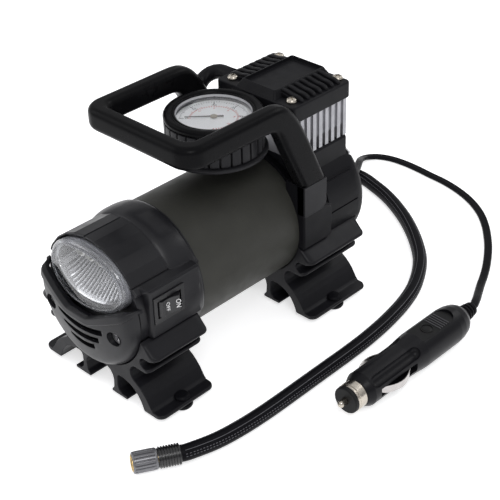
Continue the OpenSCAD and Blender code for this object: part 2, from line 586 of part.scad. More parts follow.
module hose_ferrule() color("#1b1b1d") at_chuck() difference() {
  union() {
    cylinder(r = 5.2, h = 12, $fn = 40);
    for (i = [0:7]) translate([0, 0, 0.4 + i * 1.45]) cylinder(r = 5.7, h = 0.95, $fn = 40);
  }
  translate([0, 0, 8]) cylinder(r = 2.9, h = 5, $fn = 24);
}
module chuck_insert() color("#b5954e") at_chuck() difference() {
  union() {
    translate([0, 0, 8]) cylinder(r = 2.9, h = 6, $fn = 40);
    translate([0, 0, 14]) cylinder(r = 4.5, h = 11.8, $fn = 40);
  }
  translate([0, 0, 16]) cylinder(r = 3.6, h = 12, $fn = 40);
  translate([0, 0, 7]) cylinder(r = 1.2, h = 12, $fn = 24);
}
module chuck_collar() color("#6c6e72") at_chuck() difference() {
  union() {
    translate([0, 0, 12.3]) cylinder(r = 5.4, h = 13, $fn = 48);
    for (i = [0:17]) rotate([0, 0, i * 20]) translate([5.1, -0.55, 12.8]) cube([0.7, 1.1, 12]);
  }
  translate([0, 0, 13.7]) cylinder(r = 4.56, h = 14, $fn = 48);
  translate([0, 0, 12]) cylinder(r = 2.96, h = 4, $fn = 48);
}

// ---------------------------------------------------------------- power cord
module cord_grommet() color("#161617") difference() {
  union() {
    cyl_y(5.6, 96, 98.4, -14, 36, 40);
    cyl_y(4.0, 92.6, 96, -14, 36, 40);
    translate([-14, 98.4, 36]) rotate([-90, 0, 0]) cylinder(r1 = 4.6, r2 = 3.5, h = 16.6, $fn = 32);
  }
  box(-16.6, -11.4, 90, 114.9, 34.4, 37.6);
}
cz = 1.75;
cord_pts = [[-14, 115, 36], [-15, 124, 34.6], [-17.5, 136, 30.5], [-22, 150, 24.5], [-29, 166, 18.2], [-38, 181, 13.4], [-46.5, 193.5, 10],
  [-53, 204, 5.6], [-55, 213, 2.6], [-51, 219.6, cz], [-42, 223.6, cz], [-30, 225, cz], [-18, 224.6, cz], [-6, 223.4, cz], [6, 222.4, cz],
  [18, 220, cz], [30, 216, cz], [41, 210.6, cz], [52, 203, cz], [62, 193.6, cz], [70, 184.4, cz], [77.6, 174.6, cz], [84, 165, cz],
  [90, 155, 1.9], [96, 143.6, 2.6], [101.6, 132.2, 4.4], [107.4, 121.4, 7], [112.8, 111.4, 9.8], [116.4, 102.6, 11.3]];
module power_cord() color("#19191a") sweep(cord_pts, cord_w, cord_t, 8, [1, 0, 0]);

// The plug lies along Y, its side contacts level and its flat pad on top
pl_x = 117.1; pl_z = 11.5; pl_roll = 2;
module at_plug(s = 0) translate([pl_x, s, pl_z]) rotate([0, pl_roll, 0]) children();
module plug_body() color("#26262a") difference() {
  at_plug() union() {
    rev0() polygon([[0, -4.0], [8.2, -4.0], [8.5, -3.5], [9.9, -0.8], [10.4, 0.2], [10.4, 30], [10.9, 36], [11.4, 43], [11.4, 76],
      [10.9, 81], [9.7, 85.6], [8, 88.4], [5.8, 90.3], [0, 90.3]]);
  }
  at_plug() {
    // battery-style bore for fuse, spring and pin
    translate([0, -8, 0]) rotate([-90, 0, 0]) cylinder(r = 3.35, h = 48, $fn = 32);
    // slots of the side contacts
    for (s = [-1, 1]) box(s > 0 ? 5.3 : -12.6, s > 0 ? 12.6 : -5.3, 5.2, 35.6, -2.6, 2.6);
    // flutes beside the top
    for (a = [46, 134]) rotate([0, -a, 0]) translate([15.2, 4, 0]) rotate([-90, 0, 0]) cylinder(r = 6, h = 35, $fn = 32);
    // thumb rest on the top, with a round rear end
    box(-6.3, 6.3, 45.4, 71.2, 9.5, 14);
    translate([0, 71.2, 9.5]) cylinder(r = 6.3, h = 5, $fn = 40);
  }
}
module rev0() rotate([-90, 0, 0]) rotate_extrude() children();
module plug_relief() color("#19191b") translate([pl_x, 0, pl_z]) {
  rev0() polygon([[0, 90.3], [5.4, 90.3], [5.2, 91.6], [4.4, 91.6], [4.4, 92.6], [5.1, 92.6], [4.9, 94.2], [4.1, 94.2], [4.1, 95.2],
    [4.8, 95.2], [4.6, 96.8], [3.9, 96.8], [3.9, 97.8], [4.4, 97.8], [4.1, 100.2], [3.1, 101.2], [0, 101.2]]);
}
module plug_fuse() color("#cfcac0") at_plug() {
  translate([0, 2, 0]) rotate([-90, 0, 0]) cylinder(r = 3.05, h = 25, $fn = 32);
}
module plug_spring() color("#c0c3c7") at_plug() difference() {
  translate([0, 30.4, 0]) rotate([-90, 0, 0]) cylinder(r = 3.0, h = 9.6, $fn = 32);
  translate([0, 30, 0]) rotate([-90, 0, 0]) cylinder(r = 2.2, h = 12, $fn = 32);
}
module plug_ring() color("#c9c4b8") at_plug() difference() {
  rev0() polygon([[3.5, -10.8], [7.7, -10.8], [8, -10.5], [8, -9.7], [7.5, -9.4], [7.5, -9.1], [8.1, -8.8], [8.1, -4.4], [7.8, -4.0], [3.5, -4.0]]);
}
module plug_nose() color("#2a2a2e") at_plug() difference() {
  rev0() polygon([[0, -13.2], [7.4, -13.2], [7.9, -12.7], [7.9, -10.8], [0, -10.8]]);
  translate([0, -14, 0]) rotate([-90, 0, 0]) cylinder(r = 2.06, h = 8, $fn = 32);
}
module plug_pin() color("#cfcbc0") at_plug() {
  translate([0, -16.7, 0]) rotate([-90, 0, 0]) cylinder(r = 2.0, h = 12.5, $fn = 32);
  translate([0, -16.7, 0]) sphere(r = 2.0, $fn = 32);
  translate([0, -4.4, 0]) rotate([-90, 0, 0]) cylinder(r = 3.05, h = 6.4, $fn = 32);
}
// leaf contacts: a shallow arc that stands out of its slot
module contact(s) color("#c9c4b8") at_plug() {
  mirror([s < 0 ? 1 : 0, 0, 0]) translate([0, 0, -2.25]) linear_extrude(4.5)
    polygon(concat([for (i = [0:12]) [8.4 + 4.6 * sin(i * 15), 6.4 + i * 2.15]], [for (i = [12:-1:0]) [7.5 + 4.6 * sin(i * 15), 6.4 + i * 2.15]]));
}
module plug_contact_a() contact(1);
module plug_contact_b() contact(-1);

lamp_housing();
lamp_reflector();
lamp_lens();
lamp_board();
lamp_leds();
vent_mask();
mask_screws();
switch_body();
switch_rocker();
front_foot();
rear_foot();
rubber_feet();
motor_barrel();
motor_magnets();
brush_plate();
brushes();
front_bearing();
motor_shaft();
armature();
commutator();
cooling_fan();
motor_end_plate();
rear_bearing();
crank();
rear_housing();
rear_cover();
cover_screws();
cylinder_base();
finned_cylinder();
con_rod();
rod_bearing();
piston_seal();
head_gasket();
valve_plate();
head_cover();
head_screws();
handle();
handle_screws();
gauge_cup();
gauge_bezel();
gauge_glass();
gauge_dial();
gauge_needle();
gauge_movement();
outlet_elbow();
air_hose();
hose_ferrule();
chuck_collar();
chuck_insert();
cord_grommet();
power_cord();
plug_body();
plug_relief();
plug_fuse();
plug_spring();
plug_ring();
plug_nose();
plug_pin();
plug_contact_a();
plug_contact_b();
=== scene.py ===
import json
import math

import bmesh
import bpy
from mathutils import Matrix, Vector
from mathutils.geometry import tessellate_polygon

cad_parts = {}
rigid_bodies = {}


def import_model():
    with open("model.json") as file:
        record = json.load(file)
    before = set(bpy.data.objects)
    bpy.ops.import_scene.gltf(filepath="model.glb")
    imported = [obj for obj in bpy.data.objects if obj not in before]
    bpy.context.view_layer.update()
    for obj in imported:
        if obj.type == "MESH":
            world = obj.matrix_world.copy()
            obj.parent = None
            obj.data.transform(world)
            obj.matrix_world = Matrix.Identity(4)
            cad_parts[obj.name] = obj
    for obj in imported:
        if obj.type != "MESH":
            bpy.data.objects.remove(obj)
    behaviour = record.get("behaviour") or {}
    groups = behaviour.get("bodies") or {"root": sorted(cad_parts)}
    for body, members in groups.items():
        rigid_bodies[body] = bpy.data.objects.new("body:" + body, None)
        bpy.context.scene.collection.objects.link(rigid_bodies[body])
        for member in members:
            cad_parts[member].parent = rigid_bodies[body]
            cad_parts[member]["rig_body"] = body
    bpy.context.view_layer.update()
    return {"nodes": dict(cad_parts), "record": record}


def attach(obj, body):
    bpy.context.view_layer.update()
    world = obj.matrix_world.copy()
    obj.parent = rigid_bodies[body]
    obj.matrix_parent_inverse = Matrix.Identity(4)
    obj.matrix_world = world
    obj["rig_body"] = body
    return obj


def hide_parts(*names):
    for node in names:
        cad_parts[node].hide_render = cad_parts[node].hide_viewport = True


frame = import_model()
N = frame["nodes"]
MM = 0.001
AZ = 59.5          # height of the motor axis, mm
scene = bpy.context.scene

# ------------------------------------------------------------------ camera
def make_camera():
    az, el, roll = math.radians(45.04), math.radians(33.15), math.radians(-1.769)
    right = Vector((math.cos(az), math.sin(az), 0))
    back = Vector((math.sin(az) * math.cos(el), -math.cos(az) * math.cos(el), math.sin(el)))
    up = back.cross(right)
    r2 = right * math.cos(roll) + up * math.sin(roll)
    u2 = -right * math.sin(roll) + up * math.cos(roll)
    cam = bpy.data.cameras.new("camera")
    cam.sensor_width = 36
    cam.lens = 91.46
    cam.clip_start = 0.02
    cam.clip_end = 20
    o = bpy.data.objects.new("camera", cam)
    m = Matrix((r2, u2, back)).transposed().to_4x4()
    m.translation = Vector((0.45280, -0.41679, 0.45094))
    o.matrix_world = m
    scene.collection.objects.link(o)
    scene.camera = o


make_camera()


# ------------------------------------------------------------------ helpers
def mesh_object(name, verts, faces, scale=MM, smooth=True, uvs=None):
    me = bpy.data.meshes.new(name)
    me.from_pydata([tuple(c * scale for c in v) for v in verts], [], faces)
    if uvs is not None:
        lay = me.uv_layers.new(name="UVMap")
        for poly in me.polygons:
            for li, vi in zip(poly.loop_indices, poly.vertices):
                lay.data[li].uv = uvs[vi] if not callable(uvs) else uvs(poly.index, vi)
    me.update()
    if smooth:
        me.polygons.foreach_set("use_smooth", [True] * len(me.polygons))
    o = bpy.data.objects.new(name, me)
    scene.collection.objects.link(o)
    return o


def catmull(pts, n):
    """n points a span on a centripetal-like Catmull-Rom curve through pts."""
    P = [Vector(p) for p in pts]
    out = []
    for i in range(len(P) - 1):
        p0 = P[i - 1] if i > 0 else P[0] * 2 - P[1]
        p1, p2 = P[i], P[i + 1]
        p3 = P[i + 2] if i + 2 < len(P) else P[-1] * 2 - P[-2]
        for k in range(n):
            t = k / n
            out.append(0.5 * ((2 * p1) + (p2 - p0) * t + (2 * p0 - 5 * p1 + 4 * p2 - p3) * t * t
                              + (3 * p1 - p0 - 3 * p2 + p3) * t ** 3))
    out.append(P[-1].copy())
    return out


def frames(path, up0):
    """Tangent and two normals along a path, carried without twist."""
    T = []
    for i in range(len(path)):
        a, b = path[max(i - 1, 0)], path[min(i + 1, len(path) - 1)]
        T.append((b - a).normalized())
    u = (up0 - T[0] * up0.dot(T[0])).normalized()
    out = []
    for i, t in enumerate(T):
        u = (u - t * u.dot(t)).normalized()
        out.append((t, u, t.cross(u).normalized()))
    return out


def tube(name, path, section, up0=Vector((0, 0, 1)), level=False, uv=True, closed_ends=True):
    """Sweeps a closed section [(a, b), ...] (or a function of the index) along path, in mm."""
    fr = frames(path, up0)
    verts, uvs, dist = [], [], 0.0
    n = None
    for i, p in enumerate(path):
        if i:
            dist += (p - path[i - 1]).length
        t, u, v = fr[i]
        if level:
            s = t.cross(Vector((0, 0, 1)))
            if s.length > 0.35:
                v2 = s.normalized()
                u2 = v2.cross(t).normalized()
                k = min(1.0, max(0.0, (s.length - 0.35) / 0.4))
                v = (v * (1 - k) + v2 * k * (1 if v.dot(v2) >= 0 else -1)).normalized()
                u = v.cross(t).normalized()
        sec = section(i, dist) if callable(section) else section
        n = len(sec)
        for k, (a, b) in enumerate(sec):
            verts.append(p + v * a + u * b)
            uvs.append((dist, k / n))
    faces = []
    m = len(path)
    for i in range(m - 1):
        for k in range(n):
            a, b = i * n + k, i * n + (k + 1) % n
            faces.append((a, a + n, b + n, b))
    if closed_ends:
        faces.append(tuple(range(n)))
        faces.append(tuple((m - 1) * n + k for k in range(n - 1, -1, -1)))

    def uvf(pi, vi):
        if pi < (m - 1) * n:
            k = pi % n
            d = uvs[vi][0]
            kk = vi % n
            w = kk / n
            if k == n - 1 and kk == 0:
                w = 1.0
            return (d * 0.01, w)
        return (0, 0)
    o = mesh_object(name, verts, faces, uvs=uvf if uv else None)
    bm = bmesh.new(); bm.from_mesh(o.data)
    bmesh.ops.recalc_face_normals(bm, faces=bm.faces)
    bm.to_mesh(o.data); bm.free()
    return o


def circle_pts(r, n, a0=0.0):
    return [(r * math.cos(a0 + 2 * math.pi * k / n), r * math.sin(a0 + 2 * math.pi * k / n)) for k in range(n)]


# ------------------------------------------------------------------ cords
EL = dict(x=-39.0, y=57.0, z=130.5, r=9.4, t=math.radians(30), r2=9.0)
ELX = EL["x"] - EL["r"]
ELY2 = EL["y"] - EL["r"] * math.cos(EL["t"]); ELZ2 = EL["z"] - EL["r"] * math.sin(EL["t"])
ELY3 = ELY2 - EL["r2"] * (1 - math.sin(EL["t"])); ELZ3 = ELZ2 - EL["r2"] * math.cos(EL["t"])
HZ = 4.65
CK = Vector((77.2, -97.0, 5.9)); CKD = Vector((-12.6, -21.3, 0)).normalized()
HOSE_D = 9.0
HOSE = [(ELX, ELY3, 108), (ELX, ELY3, 98), (-48.9, ELY3 + 0.2, 86), (-50.2, 45.4, 74), (-52.6, 47, 62), (-55.6, 49.8, 50),
        (-58.6, 54.4, 38), (-61.4, 61, 27), (-64.2, 69.5, 17.6), (-67, 80, 10.6), (-70, 92, 6.4), (-73.6, 105, HZ),
        (-77.4, 118, HZ), (-79.6, 131, HZ), (-79, 145, HZ), (-75.6, 157.6, HZ),
        (-69.5, 168.6, HZ), (-60.5, 178, HZ), (-48.6, 184.2, HZ), (-35.4, 185, HZ), (-22, 181.6, HZ), (-8.6, 177, HZ),
        (5.6, 170.2, HZ), (23.1, 159.6, HZ), (42, 144.8, HZ), (58.6, 127.6, HZ), (71.4, 106.3, HZ), (78.3, 86.7, HZ),
        (82.6, 64.6, HZ), (84.8, 44, HZ), (85.6, 25.2, HZ), (85.8, 7.5, HZ), (86, -9.7, HZ), (86.2, -25.6, HZ),
        (86.2, -41.5, HZ), (85.6, -56, HZ), (84.3, -69, HZ), (82.7, -78.4, 4.8), (80.6, -87.6, 5.4), (78.73, -94.42, 5.9), tuple(CK)]
CZ = 1.75
CORD = [(-14, 115, 36), (-15, 124, 34.6), (-17.5, 136, 30.5), (-22, 150, 24.5), (-29, 166, 18.2), (-38, 181, 13.4),
        (-46.5, 193.5, 10), (-53, 204, 5.6), (-55, 213, 2.6), (-51, 219.6, CZ), (-42, 223.6, CZ), (-30, 225, CZ),
        (-18, 224.6, CZ), (-6, 223.4, CZ), (6, 222.4, CZ), (18, 220, CZ), (30, 216, CZ), (41, 210.6, CZ), (52, 203, CZ),
        (62, 193.6, CZ), (70, 184.4, CZ), (77.6, 174.6, CZ), (84, 165, CZ), (90, 155, 1.9), (96, 143.6, 2.6),
        (101.6, 132.2, 4.4), (107.4, 121.4, 7), (112.8, 111.4, 9.8), (116.4, 102.6, 11.3), (117.0, 93, 11.5), (117.1, 82, 11.5)]


def length_mm(p):
    return sum((Vector(b) - Vector(a)).length for a, b in zip(p[:-1], p[1:]))


hose_path = catmull(HOSE, 6)
air_hose_v = tube("air_hose_v", hose_path, circle_pts(HOSE_D / 2, 36), up0=Vector((0, 1, 0)))
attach(air_hose_v, "base")
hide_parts("air_hose")

CW, CT = 5.2, 3.2


def twin_section(i, d):
    pts = []
    off = (CW - CT) / 2
    for k in range(32):
        a = 2 * math.pi * k / 32
        x = off * (1 if math.cos(a) > 0 else -1) * min(1.0, abs(math.cos(a)) * 2.2) + CT / 2 * math.cos(a)
        y = CT / 2 * math.sin(a)
        y *= 1 - 0.24 * math.exp(-(x / 0.55) ** 2)
        pts.append((x, y))
    return pts


cord_path = catmull(CORD, 6)
power_cord_v = tube("power_cord_v", cord_path, twin_section, up0=Vector((0, 0, 1)), level=True)
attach(power_cord_v, "base")
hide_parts("power_cord")

print("hose", length_mm(hose_path), "cord", length_mm(cord_path))

# ------------------------------------------------------------------ materials
def srgb(r, g, b):
    f = lambda c: c / 12.92 if c <= 0.04045 else ((c + 0.055) / 1.055) ** 2.4
    return (f(r / 255), f(g / 255), f(b / 255))


MATS = {}


def material(name, color, rough, metal=0.0, grain=0.0, grain_scale=1500.0, var=0.08, var_scale=45.0, rvar=0.05,
             coat=0.0, coat_rough=0.1, spec=0.5, transmission=0.0, ior=1.5, stretch=(1, 1, 1), color2=None, sheen=0.0,
             emission=None, detail=4.0):
    """A procedural material: blotchy colour, uneven gloss and a fine grain, all in object coordinates."""
    m = bpy.data.materials.new(name)
    m.use_nodes = True
    nt = m.node_tree
    b = nt.nodes["Principled BSDF"]
    tc = nt.nodes.new("ShaderNodeTexCoord")
    mp = nt.nodes.new("ShaderNodeMapping")
    mp.inputs["Scale"].default_value = stretch
    nt.links.new(tc.outputs["Object"], mp.inputs["Vector"])

    def noise(scale, det, rough_=0.55):
        n = nt.nodes.new("ShaderNodeTexNoise")
        n.inputs["Scale"].default_value = scale
        n.inputs["Detail"].default_value = det
        n.inputs["Roughness"].default_value = rough_
        nt.links.new(mp.outputs["Vector"], n.inputs["Vector"])
        return n

    n1 = noise(var_scale, detail)
    ramp = nt.nodes.new("ShaderNodeValToRGB")
    c1 = tuple(c * (1 - var) for c in color) + (1,)
    c2 = tuple(c * (1 + var) for c in (color2 or color)) + (1,)
    ramp.color_ramp.elements[0].position = 0.3
    ramp.color_ramp.elements[0].color = c1
    ramp.color_ramp.elements[1].position = 0.7
    ramp.color_ramp.elements[1].color = c2
    nt.links.new(n1.outputs["Fac"], ramp.inputs["Fac"])
    nt.links.new(ramp.outputs["Color"], b.inputs["Base Color"])
    n2 = noise(var_scale * 3.1, 3.0)
    mr = nt.nodes.new("ShaderNodeMapRange")
    mr.inputs["From Min"].default_value = 0.3
    mr.inputs["From Max"].default_value = 0.7
    mr.inputs["To Min"].default_value = max(0.01, rough - rvar)
    mr.inputs["To Max"].default_value = rough + rvar
    nt.links.new(n2.outputs["Fac"], mr.inputs["Value"])
    nt.links.new(mr.outputs["Result"], b.inputs["Roughness"])
    if grain > 0:
        n3 = noise(grain_scale, 3.0, 0.6)
        bp = nt.nodes.new("ShaderNodeBump")
        bp.inputs["Strength"].default_value = 1.0
        bp.inputs["Distance"].default_value = grain * MM
        nt.links.new(n3.outputs["Fac"], bp.inputs["Height"])
        nt.links.new(bp.outputs["Normal"], b.inputs["Normal"])
    b.inputs["Metallic"].default_value = metal
    b.inputs["Specular IOR Level"].default_value = spec
    b.inputs["IOR"].default_value = ior
    b.inputs["Coat Weight"].default_value = coat
    b.inputs["Coat Roughness"].default_value = coat_rough
    b.inputs["Transmission Weight"].default_value = transmission
    b.inputs["Sheen Weight"].default_value = sheen
    if emission:
        b.inputs["Emission Color"].default_value = tuple(emission[:3]) + (1,)
        b.inputs["Emission Strength"].default_value = emission[3]
    MATS[name] = m
    return m


material("black_plastic", (0.0085, 0.0085, 0.0105), 0.34, grain=0.010, var=0.12, rvar=0.05, spec=0.27)
material("housing_plastic", (0.0068, 0.0068, 0.0082), 0.40, grain=0.014, var=0.14, rvar=0.06, spec=0.09)
material("handle_plastic", (0.0040, 0.0040, 0.0046), 0.30, grain=0.02, grain_scale=1100, var=0.12, rvar=0.06, spec=0.05)
material("foot_plastic", (0.0085, 0.0085, 0.0105), 0.38, grain=0.012, var=0.12, rvar=0.06, spec=0.15)
material("switch_plastic", (0.007, 0.007, 0.0085), 0.30, grain=0.006, var=0.1)
material("chrome", (0.62, 0.62, 0.64), 0.05, metal=1.0, grain=0.004, grain_scale=500, var=0.03, rvar=0.02)
material("clear_plastic", (0.97, 0.98, 0.99), 0.02, transmission=1.0, ior=1.40, var=0.004, rvar=0.008, spec=0.3)
material("circuit_board", (0.03, 0.13, 0.05), 0.35, grain=0.01, var=0.2)
material("led_resin", (0.34, 0.34, 0.32), 0.05, transmission=0.2, ior=1.52, var=0.02, rvar=0.02)
material("steel", (0.55, 0.55, 0.56), 0.30, metal=1.0, grain=0.01, var=0.1, var_scale=300)
material("rubber", (0.0055, 0.0055, 0.0070), 0.40, grain=0.015, var=0.15, rvar=0.06, spec=0.05)
material("barrel_paint", (0.0340, 0.0340, 0.0295), 0.52, grain=0.03, grain_scale=2200, var=0.10, rvar=0.05, spec=0.2)
material("ferrite", (0.09, 0.09, 0.095), 0.55, metal=0.3, grain=0.02, var=0.15)
material("phenolic", (0.09, 0.06, 0.035), 0.5, grain=0.02, var=0.2)
material("carbon", (0.03, 0.03, 0.03), 0.6, grain=0.02, var=0.2)
material("lamination", (0.22, 0.13, 0.08), 0.4, metal=0.6, grain=0.02, stretch=(1, 12, 1), var=0.25)
material("copper", (0.70, 0.33, 0.16), 0.28, metal=1.0, grain=0.01, var=0.15)
material("grey_plastic", (0.06, 0.06, 0.064), 0.45, grain=0.015, var=0.12)
material("cast_aluminium", (0.34, 0.34, 0.36), 0.42, metal=0.75, grain=0.03, grain_scale=1400, var=0.10, var_scale=160, rvar=0.07)
material("ptfe", (0.62, 0.58, 0.50), 0.5, grain=0.01, var=0.06)
material("dial_white", (0.72, 0.72, 0.71), 0.55, grain=0.006, var=0.02)
material("needle_black", (0.02, 0.02, 0.02), 0.4, grain=0.004, var=0.1)
material("brass", (0.56, 0.40, 0.17), 0.30, metal=1.0, grain=0.015, stretch=(1, 1, 1), var=0.16, var_scale=260, rvar=0.08)
material("plug_plastic", (0.0065, 0.0065, 0.0080), 0.33, grain=0.010, var=0.1, rvar=0.04, spec=0.13)
material("panel_plastic", (0.0070, 0.0072, 0.0076), 0.55, grain=0.02, var=0.12, rvar=0.04, spec=0.2)
# ridges of the thumb rest: a lighter copy of the plug plastic, a painted highlight along the bars
material("ridge_highlight_plastic", (0.045, 0.045, 0.050), 0.34, grain=0.008, var=0.12, rvar=0.04, spec=0.5)
material("ferrule_plastic", (0.008, 0.008, 0.009), 0.26, grain=0.006, var=0.12, rvar=0.04, spec=0.6)
material("collar_metal", (0.16, 0.16, 0.17), 0.34, metal=0.55, grain=0.01, var=0.14, rvar=0.06)
material("leaf_steel", (0.47, 0.45, 0.44), 0.24, metal=1.0, grain=0.008, var=0.08, var_scale=240, rvar=0.06)
material("thread", (0.075, 0.075, 0.085), 0.5, grain=0.02, grain_scale=3000, var=0.2, rvar=0.06)
# the dial glows faintly: painted light standing in for the light that reaches it through the glass
material("dial_face_glow", (0.74, 0.74, 0.745), 0.5, grain=0.004, var=0.015, emission=(1, 1, 1.02, 0.09))
material("needle_grey", (0.10, 0.09, 0.08), 0.4, grain=0.004, var=0.1)
material("needle_hub", (0.30, 0.26, 0.20), 0.35, metal=0.6, grain=0.004, var=0.1)
material("block_plastic", (0.0135, 0.0135, 0.0155), 0.42, grain=0.012, var=0.10, rvar=0.05, spec=0.15)
material("button_black", (0.0022, 0.0022, 0.0024), 0.35, grain=0.008, var=0.1, spec=0.2)
material("nickel", (0.50, 0.46, 0.40), 0.22, metal=1.0, grain=0.008, var=0.10, var_scale=240, rvar=0.07)
material("fuse_ceramic", (0.75, 0.74, 0.70), 0.12, grain=0.004, var=0.03)
material("print_white", (0.80, 0.80, 0.80), 0.5, grain=0.004, var=0.03)
material("print_black", (0.02, 0.02, 0.022), 0.5, grain=0.004, var=0.05)
material("print_red", (0.62, 0.17, 0.15), 0.5, grain=0.004, var=0.05)
material("collar_plastic", (0.030, 0.030, 0.033), 0.30, grain=0.01, var=0.15)

SLOT = {}
for _m in frame["record"].get("subparts", []):
    SLOT[_m["node"]] = _m["material_slot"]
for _n, _o in N.items():
    _o.data.materials.clear()
    _o.data.materials.append(MATS[SLOT[_n]])


# ------------------------------------------------------------------ shaping
def place(o, body, slot_name, *nodes, mat=None):
    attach(o, body)
    if nodes:
        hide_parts(*nodes)
    o.data.materials.clear()
    o.data.materials.append(MATS[mat or slot_name])
    return o


def settle(o, angle=32, w=0.0, seg=2, limit=30, weighted=True, clamp=True, profile=0.5):
    """Bevels sharp edges, shades smooth up to an angle and applies it all to the mesh."""
    me = o.data
    me.polygons.foreach_set("use_smooth", [True] * len(me.polygons))
    if w > 0:
        md = o.modifiers.new("bevel", "BEVEL")
        md.width = w * MM
        md.segments = seg
        md.limit_method = "ANGLE"
        md.angle_limit = math.radians(limit)
        md.use_clamp_overlap = clamp
        md.profile = profile
        md.miter_outer = "MITER_ARC"
    dg = bpy.context.evaluated_depsgraph_get()
    dg.update()
    new = bpy.data.meshes.new_from_object(o.evaluated_get(dg))
    o.modifiers.clear()
    o.data = new
    new.polygons.foreach_set("use_smooth", [True] * len(new.polygons))
    new.set_sharp_from_angle(angle=math.radians(angle))
    if weighted:
        md = o.modifiers.new("wn", "WEIGHTED_NORMAL")
        md.keep_sharp = True
        md.weight = 60
        dg = bpy.context.evaluated_depsgraph_get()
        dg.update()
        new2 = bpy.data.meshes.new_from_object(o.evaluated_get(dg))
        o.modifiers.clear()
        o.data = new2
    return o


def from_bm(name, bm):
    me = bpy.data.meshes.new(name)
    bm.to_mesh(me)
    bm.free()
    o = bpy.data.objects.new(name, me)
    scene.collection.objects.link(o)
    return o


def cad_bm(*nodes):
    """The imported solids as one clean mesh: doubles merged and flat faces joined."""
    bm = bmesh.new()
    for n in nodes:
        me = N[n].data
        vs = [bm.verts.new(v.co) for v in me.vertices]
        bm.verts.ensure_lookup_table()
        for p in me.polygons:
            try:
                bm.faces.new([vs[i] for i in p.vertices])
            except ValueError:
                pass
    bmesh.ops.remove_doubles(bm, verts=bm.verts, dist=2e-6)
    bmesh.ops.dissolve_limit(bm, angle_limit=math.radians(0.7), use_dissolve_boundaries=False, verts=bm.verts,
                             edges=bm.edges)
    bmesh.ops.recalc_face_normals(bm, faces=bm.faces)
    return bm


def clone(node, w=0.4, seg=2, limit=30, mat=None, angle=32, clamp=True):
    """A CAD node again, with its hard edges eased."""
    o = from_bm(node + "_v", cad_bm(node))
    settle(o, angle=angle, w=w, seg=seg, limit=limit, clamp=clamp)
    return place(o, N[node]["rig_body"], SLOT[node], node, mat=mat)


def rounded(pts, r, seg=4, closed=True):
    """A flat outline with its corners rounded; r is one number or one for each corner."""
    n = len(pts)
    out = []
    for i in range(n):
        p = Vector(pts[i]).to_2d()
        ri = r[i] if hasattr(r, "__len__") else r
        if ri <= 0 or (not closed and i in (0, n - 1)):
            out.append(tuple(p))
            continue
        a, b = Vector(pts[i - 1]).to_2d(), Vector(pts[(i + 1) % n]).to_2d()
        la, lb = (a - p).length, (b - p).length
        if la < 1e-6 or lb < 1e-6:
            out.append(tuple(p))
            continue
        ua, ub = (a - p) / la, (b - p) / lb
        c = max(-1.0, min(1.0, ua.dot(ub)))
        ang = math.acos(c)
        if ang > math.radians(177) or ang < math.radians(3):
            out.append(tuple(p))
            continue
        t = min(ri / math.tan(ang / 2), 0.46 * la, 0.46 * lb)
        rr = t * math.tan(ang / 2)
        cen = p + (ua + ub).normalized() * (rr / math.sin(ang / 2))
        p1, p2 = p + ua * t, p + ub * t
        a1 = math.atan2(p1.y - cen.y, p1.x - cen.x)
        a2 = math.atan2(p2.y - cen.y, p2.x - cen.x)
        d = a2 - a1
        while d > math.pi:
            d -= 2 * math.pi
        while d < -math.pi:
            d += 2 * math.pi
        for k in range(seg + 1):
            t_ = a1 + d * k / seg
            out.append((cen.x + rr * math.cos(t_), cen.y + rr * math.sin(t_)))
    return out


def rings_mesh(name, rings, cap0=True, cap1=True, closed_u=True, loop=False):
    """Joins rings of equal length (points in mm) into a skin."""
    n = len(rings[0])
    verts = [p for r in rings for p in r]
    faces = []
    m = len(rings)
    for i in range(m if loop else m - 1):
        j = (i + 1) % m
        for k in range(n if closed_u else n - 1):
            k2 = (k + 1) % n
            faces.append((i * n + k, i * n + k2, j * n + k2, j * n + k))
    if cap0:
        faces.append(tuple(range(n - 1, -1, -1)))
    if cap1:
        faces.append(tuple((m - 1) * n + k for k in range(n)))
    o = mesh_object(name, verts, faces)
    bm = bmesh.new()
    bm.from_mesh(o.data)
    bmesh.ops.remove_doubles(bm, verts=bm.verts, dist=1e-7)
    bmesh.ops.recalc_face_normals(bm, faces=bm.faces)
    bm.to_mesh(o.data)
    bm.free()
    return o


def revolve(name, prof, n, put, closed=True):
    """Turns a profile of (r, h) in mm; put(r, angle, h) gives the point."""
    rings = []
    for k in range(n):
        a = 2 * math.pi * k / n
        rings.append([put(r, a, h) for r, h in prof])
    m = len(prof)
    verts = [p for r in rings for p in r]
    faces = []
    for k in range(n):
        k2 = (k + 1) % n
        for i in range(m if closed else m - 1):
            j = (i + 1) % m
            faces.append((k * m + i, k2 * m + i, k2 * m + j, k * m + j))
    o = mesh_object(name, verts, faces)
    bm = bmesh.new()
    bm.from_mesh(o.data)
    bmesh.ops.remove_doubles(bm, verts=bm.verts, dist=1e-7)
    bmesh.ops.dissolve_degenerate(bm, dist=1e-7, edges=bm.edges)
    bmesh.ops.recalc_face_normals(bm, faces=bm.faces)
    bm.to_mesh(o.data)
    bm.free()
    return o


def on_z(x, y):
    return lambda r, a, h: (x + r * math.cos(a), y + r * math.sin(a), h)


def on_y(x, z):
    return lambda r, a, h: (x + r * math.cos(a), h, z + r * math.sin(a))


def boolean(o, cutter, op="DIFFERENCE", keep=False):
    md = o.modifiers.new("bool", "BOOLEAN")
    md.operation = op
    md.solver = "EXACT"
    md.object = cutter
    dg = bpy.context.evaluated_depsgraph_get()
    dg.update()
    new = bpy.data.meshes.new_from_object(o.evaluated_get(dg))
    o.modifiers.clear()
    o.data = new
    if not keep:
        bpy.data.objects.remove(cutter)
    return o


def prism(name, outline, put, h0, h1):
    """A flat outline carried from h0 to h1; put(a, b, h) gives the point."""
    return rings_mesh(name, [[put(a, b, h0) for a, b in outline], [put(a, b, h1) for a, b in outline]])


def ss(a, b, x):
    t = max(0.0, min(1.0, (x - a) / (b - a)))
    return t * t * (3 - 2 * t)


